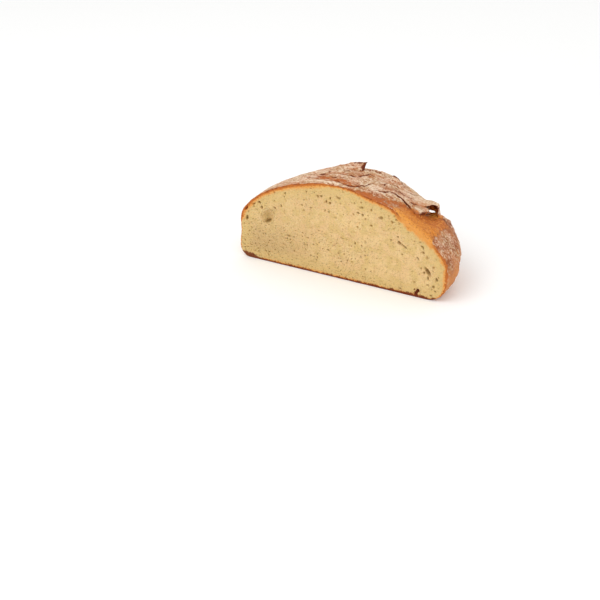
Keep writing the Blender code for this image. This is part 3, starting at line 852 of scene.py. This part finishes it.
# %% Decimate
TRIANGLES = 190000
fine = mesh_object("fine_loaf", skin)
decimate = fine.modifiers.new("decimate", "DECIMATE")
decimate.ratio = TRIANGLES / (2.0 * len(skin.polygons))
loaf_mesh = evaluated_mesh(fine)
bpy.data.objects.remove(fine)
tree = KDTree(len(moved))
for index, place in enumerate(moved):
    tree.insert(place, index)
tree.balance()
final_points, _ = arrays_of(loaf_mesh)
nearest = np.array([tree.find(place)[1] for place in final_points])
bread = mesh_object("country_loaf", loaf_mesh)
loaf_mesh.shade_smooth()
loaf_mesh.name = "country_loaf"
triangles = sum(len(face.vertices) - 2 for face in loaf_mesh.polygons)
print("bread:", len(final_points), "points,", triangles, "triangles")

# %% [markdown]
# Thick and missing flour
#
# Flour from the proving basket lies in patches, and it is rubbed off where the skin was stretched. The
# patches that show in the photograph are named. Round ones have a middle and a radius, and bare bands follow
# a line with a ragged edge.

# %% Patches of flour
PATCHES = (   # places where the flour is thick (above 0) or missing (below 0): x, y, z, radius, amount
    (26.9, 21.0, 95.6, 8.0, 1.1),
    (0.8, 55.0, 96.5, 3.5, 1.6),
    (38.0, 16.0, 92.0, 7.0, 0.7),
    (55.3, 48.3, 82.7, 8.0, 0.8),
    (68.0, 45.5, 78.9, 5.0, 0.7),
    (71.2, 28.6, 78.1, 4.5, 0.9),
    (32.4, 59.9, 89.8, 9.0, 0.5),
    (101.5, 27.5, 56.2, 6.0, 0.5),
    (104.5, 9.0, 55.0, 4.5, 0.6),
    (110.5, 20.0, 47.0, 5.0, 0.3),
    (98.0, 44.0, 57.0, 7.0, -0.7),
    (-52.0, 30.0, 92.0, 16.0, 0.4),
    (-80.0, 20.0, 80.0, 14.0, 0.5),
    (-7.0, 11.8, 101.0, 3.2, -2.4),
    (-2.5, 13.0, 101.0, 3.2, -2.4),
    (-25.0, 22.0, 99.0, 9.0, -0.7),
    (64.0, 16.0, 81.0, 7.0, -1.0),
    (64.9, 35.8, 80.3, 3.5, -1.1),
    (73.2, 43.4, 77.9, 4.0, -0.9),
    (36.0, 40.0, 92.0, 7.0, -0.4),
)
BANDS = (     # the same along lines seen from above: line, half width, amount
    (((-30, 18), (-20, 15.5), (-10, 14), (1, 12.6), (8, 12.5)), 4.6, -1.7),
    (((12, 1), (18, 2), (24, 3), (31, 4)), 3.0, -2.0),
    (((3, 6.3), (8, 6.5), (14, 10), (17, 15)), 2.6, -1.3),
    (((32, 6), (44, 10), (52, 15), (58, 20)), 9.5, -1.7),
    (((-2, 30), (8, 38), (16, 47)), 4.5, -0.8),
)
patch = np.zeros(len(points))
uneven = 1.0 + 0.6 * noise(points, 3.5, 108) + 0.5 * noise(points, 1.7, 109)
for stops, half_width, amount in BANDS:
    gap, _ = distance_to_line(plan + wander * 0.6, curve_through(stops, 4))
    patch += amount * np.exp(-(gap / half_width) ** 2) * high * uneven
for *middle, radius, amount in PATCHES:
    patch += amount * np.exp(-np.sum((points - middle) ** 2, axis=1) / radius ** 2)
print("points with thick flour:", int((patch > 0.5).sum()), " nearly bare:", int((patch < -1.0).sum()))

# %% [markdown]
# Torn edges
#
# Where the crust tore it shows its dark inside: in the cracks, at the lip's end, at the broken end of the ear
# and along its top edge, and on the flake behind it. The downward faces inside the hood get the same dark
# colour, torn crust with painted shade on it. The shore of the burst has a broken dark line. Just under the
# lip the burst dough gets painted shade, and under the hood it gets painted light against the hood's shadow.

# %% Dark torn edges, painted shade and painted light
torn_and_shade = smooth_step(0.02, 0.25, crack) * (1.0 - burst)
# Painted shade: the faces inside the hood that point down get the dark torn colour, torn crust and shade
# together.
torn_and_shade = np.maximum(torn_and_shade, under_hood * smooth_step(73.5, 76.0, points[:, 0]))
torn_and_shade = np.maximum(torn_and_shade, back_specks * 0.9)
flake_line = curve_through(((28.5, 63.6), (31, 65.2), (34.5, 66.2), (40.0, 66.0)), 5)
to_flake, _ = distance_to_line(plan, flake_line)
torn_and_shade = np.maximum(torn_and_shade, smooth_step(1.8, 0.9, to_flake) * high)
shore_gap = in_burst + noise(points, 5.0, 106)
shore_edge = np.exp(-(shore_gap / 0.8) ** 2) * (points[:, 0] > 84.0) * (points[:, 1] > 2.0)
torn_and_shade = np.maximum(torn_and_shade, shore_edge * smooth_step(-0.2, 0.3, noise(points, 3.0, 107)) * 0.5)
torn_and_shade = np.maximum(torn_and_shade, smooth_step(0.1, 0.6, ridge_crack) * 0.75)
torn_and_shade = np.maximum(torn_and_shade, smooth_step(0.1, 0.6, lip_crack) * (over_dome < 1.5))
lip_wall = (to_lip < 2.6) & (in_burst > -6.0) & (along_lip > 0.03) & (over_dome < 0.6)
lip_wall &= normals[:, 2] < 0.45
lip_end = np.linalg.norm((points - (74.5, 31.0, 72.5)) * (1.0, 0.7, 1.0), axis=1)
torn_and_shade = np.maximum(torn_and_shade, smooth_step(5.0, 3.0, lip_end) * lip_wall * 0.9)
on_ear = (points[:, 0] < 4) & (points[:, 1] < 63)
ear_face = on_ear & (points[:, 0] > -7) & (points[:, 1] > 44) & (over_dome > 0.6) & (normals[:, 0] > 0.4)
torn_and_shade = np.maximum(torn_and_shade, ear_face * smooth_step(97.0, 98.5, points[:, 2]))
ear_tip = np.hypot(points[:, 0] - 0.5, np.hypot((points[:, 1] - 55.0) * 0.55, points[:, 2] - 101.5))
torn_and_shade = np.maximum(torn_and_shade, smooth_step(3.2, 2.2, ear_tip + noise(points, 2.5, 104) * 0.6))
ear_top = np.interp(points[:, 0], (-14.0, -2.0, 2.0), (102.6, 104.0, 104.2))
ear_edge = on_ear & (points[:, 0] > -13.0) & (points[:, 1] > 50) & (over_dome > 6.6)
ear_edge &= points[:, 2] > ear_top - 0.6
torn_and_shade = np.maximum(torn_and_shade, ear_edge * smooth_step(-0.4, 0.0, noise(points, 3.0, 103)) * 0.85)
# Painted light: the burst dough under the hood is lightened where the hood's shadow falls.
painted_light_under_hood = np.exp(-np.sum((points - (77.0, 55.0, 63.0)) ** 2, axis=1) / 8.0 ** 2) * burst
# Painted shade: the burst dough just under the lip is darkened.
painted_lip_shade = np.exp(-(to_lip / 6.0) ** 2) * burst * smooth_step(48.0, 40.0, points[:, 1])
print("torn points:", int((torn_and_shade > 0.5).sum()))

# %% [markdown]
# Masks for the materials
#
# A material can't see the loaf's plan, so what the steps above found out goes onto the points of the bread as
# named masks. The rim of the cut is wider where the burst dough begins behind it.

# %% Keep the masks


def store(name, values):
    """Keeps a mask on the points of the bread, for the materials."""
    layer = loaf_mesh.attributes.new(name, "FLOAT", "POINT")
    layer.data.foreach_set("value", np.ascontiguousarray(values[nearest], dtype=np.float32))


rim_burst = smooth_step(58.0, 70.0, points[:, 0]) * smooth_step(103.0, 96.0, points[:, 0])
rim_burst *= points[:, 2] > 45.0
MASKS = {
    "burst": burst,
    "rim_burst": rim_burst,
    "torn_and_shade": torn_and_shade,
    "plate": np.maximum(plate_crack, fine_crack * 0.6),
    "fold": fold_share,
    "patch": patch,
    "painted_lip_shade": painted_lip_shade,
    "painted_light_under_hood": painted_light_under_hood,
    "rim": to_rim,
    "behind": points[:, 1],
    "pore": pore,
    "hollow": fine_hollow,
    "dip": wide_hollow,
    "level": points[:, 2],
    "along": points[:, 0],
}
for name, values in MASKS.items():
    store(name, values)
print("masks:", ", ".join(MASKS))

# %% [markdown]
# Materials
#
# The crust and the crumb are two materials on one mesh. The small helpers below keep the node trees short to
# read: each adds one or two nodes and joins their inputs. All sizes in them are millimetres.

# %% Node helpers


def linear(red, green, blue):
    """A colour as a screen shows it, 0 to 255, as light."""
    return tuple(((part / 255.0 + 0.055) / 1.055) ** 2.4 for part in (red, green, blue)) + (1.0,)


class Nodes:
    """A material under construction."""

    def __init__(self, name):
        self.material = bpy.data.materials.new(name)
        self.material.use_nodes = True
        self.tree = self.material.node_tree
        self.shader = self.tree.nodes["Principled BSDF"]
        self.coordinates = self.tree.nodes.new("ShaderNodeTexCoord").outputs["Object"]

    def add(self, kind, inputs=(), **settings):
        """One node. Inputs are given by number or name, as a value or as another node's output."""
        node = self.tree.nodes.new("ShaderNode" + kind)
        for name, value in settings.items():
            setattr(node, name, value)
        for key, value in dict(inputs).items():
            self.join(node.inputs[key], value)
        return node

    def join(self, socket, value):
        """Sets a socket to a value, or links an output to it."""
        if isinstance(value, bpy.types.NodeSocket):
            self.tree.links.new(value, socket)
        else:
            socket.default_value = value

    def mask(self, name):
        """A mask that was stored on the bread."""
        return self.add("Attribute", attribute_name=name).outputs["Fac"]

    def noise(self, size, detail=2.0, roughness=0.5, stretch=None, shift=0.0):
        """Noise with lumps of about size millimetres."""
        where = self.coordinates
        if stretch or shift:
            mapping = {1: (shift, shift, shift), 3: stretch or (1.0, 1.0, 1.0)}
            where = self.add("Mapping", {0: where, **mapping}).outputs[0]
        inputs = {"Vector": where, "Scale": 1.0 / (size * MM), "Detail": detail, "Roughness": roughness}
        return self.add("TexNoise", inputs).outputs["Fac"]

    def ramp(self, value, low, high):
        """From 0 at low to 1 at high, smoothly."""
        limits = {0: value, 1: low, 2: high, 3: 0.0, 4: 1.0}
        return self.add("MapRange", limits, interpolation_type="SMOOTHSTEP").outputs[0]

    def window(self, value, start, full, fading, end):
        """1 between full and fading, 0 before the start and after the end."""
        return self.times(self.ramp(value, start, full), self.ramp(value, end, fading))

    def sum(self, *parts):
        """The sum of several (value, factor) pairs."""
        total = 0.0
        for value, factor in parts:
            node = self.add("Math", {0: value, 1: factor, 2: total}, operation="MULTIPLY_ADD")
            total = node.outputs[0]
        return total

    def times(self, a, b):
        """The product of two values."""
        return self.add("Math", {0: a, 1: b}, operation="MULTIPLY").outputs[0]

    def less(self, a, b):
        """What is left of a where b is absent: a times 1 - b."""
        rest = self.add("Math", {0: 1.0, 1: b}, operation="SUBTRACT").outputs[0]
        return self.times(a, rest)

    def blend(self, share, first, second):
        """One colour going over into another."""
        node = self.tree.nodes.new("ShaderNodeMix")
        node.data_type = "RGBA"
        self.join(node.inputs[0], share)
        self.join(node.inputs[6], first)
        self.join(node.inputs[7], second)
        return node.outputs[2]

    def paint(self, colour, share, amount, new):
        """Covers a colour with a new one: the share says where and the amount how thickly."""
        return self.blend(self.times(share, amount), colour, new)

    def bump(self, height, depth):
        """Fine relief of that depth in millimetres."""
        inputs = {"Height": height, "Distance": depth * MM, "Strength": 1.0}
        return self.add("Bump", inputs).outputs["Normal"]


# %% [markdown]
# The crust
#
# Under everything is baked crust, reddish brown with darker and lighter clouds, and more orange near its
# foot. Flour lies on it as a thin, broken film: thick patches are nearly cream, thin ones let the brown
# through as a dusty pink. It misses the hollows, the cracks, the bare bands and a strip along the cut, which
# are orange brown. The burst dough never had flour on it. It is golden where it is fresh, next to the crumb,
# and orange brown further up, with fine dark specks and light glints. The foot at the left end is tan, and
# the edge of the base is dark from the oven's floor.

# %% Crust material
BROWN_CRUST = linear(184, 118, 70)
DARK_CRUST = linear(150, 86, 48)
THIN_FLOUR = linear(206, 160, 130)
OLIVE_FLOUR = linear(198, 162, 124)
THICK_FLOUR = linear(230, 206, 178)
BURST_ORANGE = linear(208, 128, 50)
BURST_GOLD = linear(230, 156, 70)
BURST_DEEP = linear(182, 98, 38)
BURST_SPECK = linear(158, 82, 32)
BARE_ORANGE = linear(184, 98, 38)
TORN_EDGE_AND_SHADE = linear(104, 44, 19)
LEFT_TAN = linear(208, 166, 108)
FOOT_BROWN = linear(208, 136, 76)
BASE_BROWN = linear(112, 50, 24)


def crust_material():
    """Floured crust, burst dough and torn edges."""
    n = Nodes("crust")
    burst_mask = n.mask("burst")
    torn_and_shade_mask = n.mask("torn_and_shade")
    patch_mask = n.mask("patch")
    plate = n.mask("plate")
    hollow = n.mask("hollow")
    level = n.mask("level")
    behind = n.mask("behind")
    along = n.mask("along")

    # Baked crust, with the strip along the cut and the bare bands that have lost their flour.
    brown = n.blend(n.ramp(n.noise(11.0, 3.0), 0.38, 0.62), BROWN_CRUST, DARK_CRUST)
    foot = n.ramp(n.sum((level, 1.0), (n.noise(9.0), 14.0)), 50.0, 30.0)
    brown = n.paint(brown, foot, 0.8, FOOT_BROWN)
    widening = n.window(along, 15.0, 45.0, 66.0, 84.0)
    left_end = n.ramp(along, -88.0, -104.0)
    from_cut = n.sum((behind, 1.0), (widening, -3.0), (left_end, 4.0), (n.noise(6.0, 2.0), 9.0))
    strip = n.ramp(from_cut, 6.4, 4.4)
    brown = n.paint(brown, strip, 0.85, BARE_ORANGE)
    brown = n.paint(brown, n.ramp(patch_mask, -1.0, -2.0), 0.9, BARE_ORANGE)

    # Flour. The higher the sum, the thicker it lies.
    patches = n.noise(12.0, 3.0, 0.6, stretch=(0.55, 1.0, 1.0))
    mottle = n.noise(2.8, 3.0, 0.65)
    dust = n.noise(1.0, 2.0, 0.6)
    wrinkles = n.noise(1.8, 3.0, 0.65, stretch=(1.0, 1.0, 0.35))
    low = n.ramp(n.sum((level, 1.0), (n.noise(9.0), 16.0)), 62.0, 30.0)
    side = n.ramp(along, 84.0, 100.0)
    flour = n.sum((patches, 2.4), (mottle, 3.0), (dust, 2.4), (hollow, -1.2), (n.mask("dip"), -0.3),
                  (low, -0.6), (foot, 0.05), (strip, -0.9), (patch_mask, 0.55), (n.mask("fold"), 0.5),
                  (n.times(wrinkles, side), 1.2), (side, -1.05), (plate, -0.25), (1.0, -3.1))
    thin = n.less(n.less(n.ramp(flour, -0.10, 0.80), burst_mask), torn_and_shade_mask)
    thick = n.less(n.less(n.ramp(flour, 0.60, 1.50), burst_mask), torn_and_shade_mask)
    tint = n.ramp(n.noise(14.0, 3.0, shift=9.0), 0.40, 0.60)
    colour = n.paint(brown, thin, 0.9, n.blend(tint, THIN_FLOUR, OLIVE_FLOUR))
    colour = n.paint(colour, thick, 0.95, THICK_FLOUR)

    # Burst dough.
    fresh = n.ramp(n.sum((behind, 1.0), (n.noise(8.0), 8.0)), 13.0, 5.0)
    deep = n.ramp(n.sum((behind, 1.0), (n.noise(8.0), 10.0)), 22.0, 36.0)
    burst_colour = n.paint(BURST_ORANGE, fresh, 0.9, BURST_GOLD)
    burst_colour = n.paint(burst_colour, deep, 0.8, BURST_DEEP)
    # Painted shade on the burst dough just under the lip.
    burst_colour = n.paint(burst_colour, n.mask("painted_lip_shade"), 0.8, BURST_DEEP)
    speck = n.ramp(n.noise(1.8, 3.0, 0.7, shift=3.0), 0.50, 0.62)
    burst_colour = n.paint(burst_colour, speck, 0.7, BURST_SPECK)
    glint = n.ramp(n.noise(2.2, 2.0, 0.6, shift=7.0), 0.52, 0.64)
    burst_colour = n.paint(burst_colour, glint, 0.6, BURST_GOLD)
    # Painted light on the burst dough under the hood, against the hood's shadow.
    burst_colour = n.blend(n.ramp(n.mask("painted_light_under_hood"), 0.1, 0.6), burst_colour, BURST_GOLD)
    colour = n.blend(burst_mask, colour, burst_colour)

    # Painted shade in the hollows, the cracks between the plates, the tan foot, the torn edges and the edge
    # of the base.
    # Painted shade: the crust is darker where it dips below its surroundings.
    colour = n.blend(n.ramp(hollow, 0.08, 0.40), colour, DARK_CRUST)
    colour = n.paint(colour, n.less(plate, burst_mask), 0.3, DARK_CRUST)
    below = n.ramp(n.sum((level, 1.0), (n.noise(7.0), 8.0)), 54.0, 46.0)
    left_foot = n.times(n.ramp(along, -98.0, -106.0), below)
    colour = n.paint(colour, left_foot, 0.85, LEFT_TAN)
    # Dark torn edges, and painted shade on the downward faces inside the hood.
    colour = n.blend(torn_and_shade_mask, colour, TORN_EDGE_AND_SHADE)
    colour = n.blend(n.ramp(level, 1.8, 0.2), colour, BASE_BROWN)

    n.join(n.shader.inputs["Base Color"], colour)
    n.join(n.shader.inputs["Roughness"], n.sum((flour, 0.12), (burst_mask, -0.18), (1.0, 0.66)))
    n.shader.inputs["Specular IOR Level"].default_value = 0.15
    grain = n.sum((n.noise(0.8, 3.0, 0.6), 0.5), (mottle, 0.6), (n.noise(0.35, 1.0), 0.25))
    n.join(n.shader.inputs["Normal"], n.bump(grain, 0.6))
    return n.material


# %% [markdown]
# The crumb
#
# The crumb is cream yellow and matt, and greyer low on the left. Its cell walls let light in a little way,
# which softens the shade in the pores: subsurface scattering does the same. The mouths of the pores are
# darker, because their walls shade each other. Next to the crust the crumb is baked: a brown rim, then a
# golden line, then cream. The rim is widest at the burst, where it has no dark edge, and thin at the base's
# corners. The edge of the base is dark brown, and so is one spot at the right, in a hole next to the base.

# %% Crumb material
CRUMB_CREAM = linear(227, 195, 140)
CRUMB_WARM = linear(224, 188, 136)
CRUMB_OLIVE = linear(214, 183, 121)
CRUMB_GREY = linear(196, 164, 114)
PORE_SHADE = linear(156, 122, 68)
RIM_GOLD = linear(224, 150, 70)
RIM_BROWN = linear(180, 98, 40)
RIM_DARK = linear(112, 48, 22)
BURNT_SPOT = 85.5                         # where the burnt spot lies along the cut


def crumb_material():
    """Cream crumb with its baked rim."""
    n = Nodes("crumb")
    rim = n.mask("rim")
    pore_mask = n.mask("pore")
    level = n.mask("level")
    along = n.mask("along")
    rim_burst = n.mask("rim_burst")

    # Cream with soft clouds, the cells of the sponge and the mouths of the pores.
    colour = n.blend(n.ramp(n.noise(16.0, 3.0), 0.38, 0.62), CRUMB_CREAM, CRUMB_WARM)
    colour = n.paint(colour, n.ramp(n.noise(9.0, 3.0, shift=2.0), 0.45, 0.62), 0.8, CRUMB_OLIVE)
    low_left = n.times(n.ramp(along, 0.0, -95.0), n.ramp(level, 60.0, 12.0))
    colour = n.paint(colour, low_left, 0.95, CRUMB_GREY)
    colour = n.paint(colour, n.ramp(along, 20.0, -70.0), 0.2, CRUMB_GREY)
    colour = n.paint(colour, n.ramp(rim, 20.0, 5.0), 0.85, CRUMB_OLIVE)
    sponge = n.ramp(n.noise(1.4, 3.0, 0.65), 0.47, 0.68)
    colour = n.paint(colour, sponge, 0.5, CRUMB_GREY)
    cells = n.ramp(n.noise(1.0, 2.0, 0.5, shift=5.0), 0.58, 0.70)
    colour = n.paint(colour, cells, 0.4, PORE_SHADE)
    colour = n.paint(colour, pore_mask, 0.9, PORE_SHADE)

    # How wide the baked rim is. 1.15 is its usual width, and the stretches below add to it or take from it.
    foot = n.ramp(level, 9.0, 3.0)
    left_end = n.ramp(along, -85.0, -104.0)
    left_high = n.times(left_end, n.ramp(level, 40.0, 50.0))
    left_low = n.times(left_end, n.ramp(level, 46.0, 36.0))
    crown = n.times(n.window(along, -20.0, -8.0, 10.0, 30.0), n.ramp(level, 60.0, 80.0))
    shoulder = n.times(n.window(along, -76.0, -52.0, -22.0, -8.0), n.ramp(level, 56.0, 66.0))
    right_foot = n.times(n.ramp(along, 80.0, 100.0), n.ramp(level, 30.0, 8.0))
    width = n.sum((foot, -0.25), (left_high, 0.3), (left_low, -0.85), (rim_burst, 0.35), (crown, -0.3),
                  (shoulder, 0.35), (right_foot, -0.5), (1.0, 1.15))

    # The rim itself, with a ragged inner border and a dark outer edge.
    wobble = n.times(n.sum((n.noise(9.0, 2.0), 1.0), (1.0, -0.5)), n.sum((rim_burst, 9.0), (1.0, 1.0)))
    ragged = n.sum((n.noise(6.0, 3.0), 3.2), (n.noise(1.8), 3.4), (wobble, 1.0), (1.0, -3.3))
    inward = n.add("Math", {0: n.sum((rim, 1.0), (ragged, 1.0)), 1: width}, operation="DIVIDE").outputs[0]
    colour = n.paint(colour, n.ramp(inward, 4.8, 1.8), 0.9, RIM_GOLD)
    colour = n.paint(colour, n.less(n.ramp(inward, 2.6, 1.2), rim_burst), 0.9, RIM_BROWN)
    edge_breaks = n.ramp(n.noise(5.0, 2.0, shift=4.0), 0.46, 0.58)
    edge = n.times(n.less(n.ramp(rim, 1.3, 0.5), rim_burst), edge_breaks)
    colour = n.paint(colour, n.times(edge, n.ramp(level, 56.0, 66.0)), 0.75, RIM_DARK)

    # The burnt spot, and the edge of the base, which is thicker at both ends.
    spot = n.window(along, BURNT_SPOT - 6.0, BURNT_SPOT - 3.0, BURNT_SPOT + 3.0, BURNT_SPOT + 6.0)
    burnt = n.times(n.times(spot, n.ramp(level, 11.0, 9.5)), n.ramp(pore_mask, 0.02, 0.2))
    colour = n.blend(burnt, colour, RIM_DARK)
    over_base = n.sum((level, 1.0), (n.noise(4.0, 2.0), 5.0), (n.noise(1.6), 3.0),
                      (n.ramp(along, -88.0, -112.0), -4.0), (n.ramp(along, 20.0, 90.0), -0.8))
    colour = n.paint(colour, n.ramp(over_base, 7.2, 5.2), 0.95, RIM_DARK)

    n.join(n.shader.inputs["Base Color"], colour)
    n.shader.inputs["Roughness"].default_value = 0.88
    n.shader.inputs["Specular IOR Level"].default_value = 0.2
    n.shader.inputs["Subsurface Weight"].default_value = 0.2
    n.shader.inputs["Subsurface Radius"].default_value = (1.0, 0.6, 0.3)
    n.shader.inputs["Subsurface Scale"].default_value = 0.8 * MM
    sponge_relief = n.sum((n.noise(1.1, 3.0, 0.7), 0.9), (n.noise(0.45, 2.0, 0.6), 0.5))
    n.join(n.shader.inputs["Normal"], n.bump(sponge_relief, 0.7))
    return n.material


# %% [markdown]
# One mesh, two materials
#
# A face is crumb when at least two of its corners came from the cut, and all the others are crust. The bread
# then takes the place of the solid's one node, and it rides on the root, because a loaf has no moving parts.

# %% Dress the loaf
loaf_mesh.materials.clear()
loaf_mesh.materials.append(crust_material())
loaf_mesh.materials.append(crumb_material())
point_is_crumb = is_cut[nearest]
corners = np.empty(len(loaf_mesh.loops), dtype=np.int64)
loaf_mesh.loops.foreach_get("vertex_index", corners)
starts = np.empty(len(loaf_mesh.polygons), dtype=np.int64)
loaf_mesh.polygons.foreach_get("loop_start", starts)
crumb_faces = np.add.reduceat(point_is_crumb[corners].astype(int), starts) >= 2
loaf_mesh.polygons.foreach_set("material_index", crumb_faces.astype(np.int32))
loaf_mesh.update()
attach(bread, "root")
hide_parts("loaf")
print("crumb faces:", int(crumb_faces.sum()), "crust faces:", int((~crumb_faces).sum()))

# %% [markdown]
# Floor
#
# The surroundings in the photograph are almost white. The floor is a pale, matt square much larger than the
# loaf, and it belongs to the stage, not to the object.

# %% Floor
FLOOR_REACH = 6.0                         # metres from its middle to its edge
floor_mesh = bpy.data.meshes.new("floor")
floor_builder = bmesh.new()
bmesh.ops.create_grid(floor_builder, x_segments=1, y_segments=1, size=FLOOR_REACH)
floor_builder.to_mesh(floor_mesh)
floor_builder.free()
floor = mesh_object("floor", floor_mesh)
floor_nodes = Nodes("pale_floor")
floor_nodes.shader.inputs["Base Color"].default_value = linear(249, 249, 248)
floor_nodes.shader.inputs["Roughness"].default_value = 0.9
floor_nodes.shader.inputs["Specular IOR Level"].default_value = 0.1
floor_mesh.materials.append(floor_nodes.material)

# %% [markdown]
# Light
#
# The photograph is a plain studio shot: everything is lit from all round with very soft light, strongest from
# above and from the front. A bright, even world and two large area lights do the same, and they leave only a
# soft shadow at the foot of the loaf.

# %% Light
LOAF_MIDDLE = (0.0, 0.0, 50.0)


def softbox(name, place, target, size, power):
    """A large square area light that looks at a target."""
    data = bpy.data.lights.new(name, "AREA")
    data.shape = "SQUARE"
    data.size = size
    data.energy = power
    light = bpy.data.objects.new(name, data)
    bpy.context.scene.collection.objects.link(light)
    light.location = in_frame(*place)
    aim = in_frame(*target) - light.location
    light.rotation_mode = "QUATERNION"
    light.rotation_quaternion = aim.to_track_quat("-Z", "Y")
    return light


softbox("key", (-500.0, -1100.0, 1300.0), LOAF_MIDDLE, 1.2, 9.0)
softbox("fill", (1300.0, -700.0, 700.0), LOAF_MIDDLE, 1.2, 2.5)
world = bpy.data.worlds.new("studio")
world.use_nodes = True
background = world.node_tree.nodes["Background"]
background.inputs["Color"].default_value = (1.0, 1.0, 1.0, 1.0)
background.inputs["Strength"].default_value = 0.98
bpy.context.scene.world = world
bpy.context.scene.view_settings.view_transform = "Standard"
print("lights:", ", ".join(light.name for light in bpy.data.lights), "in a world of strength 0.98")
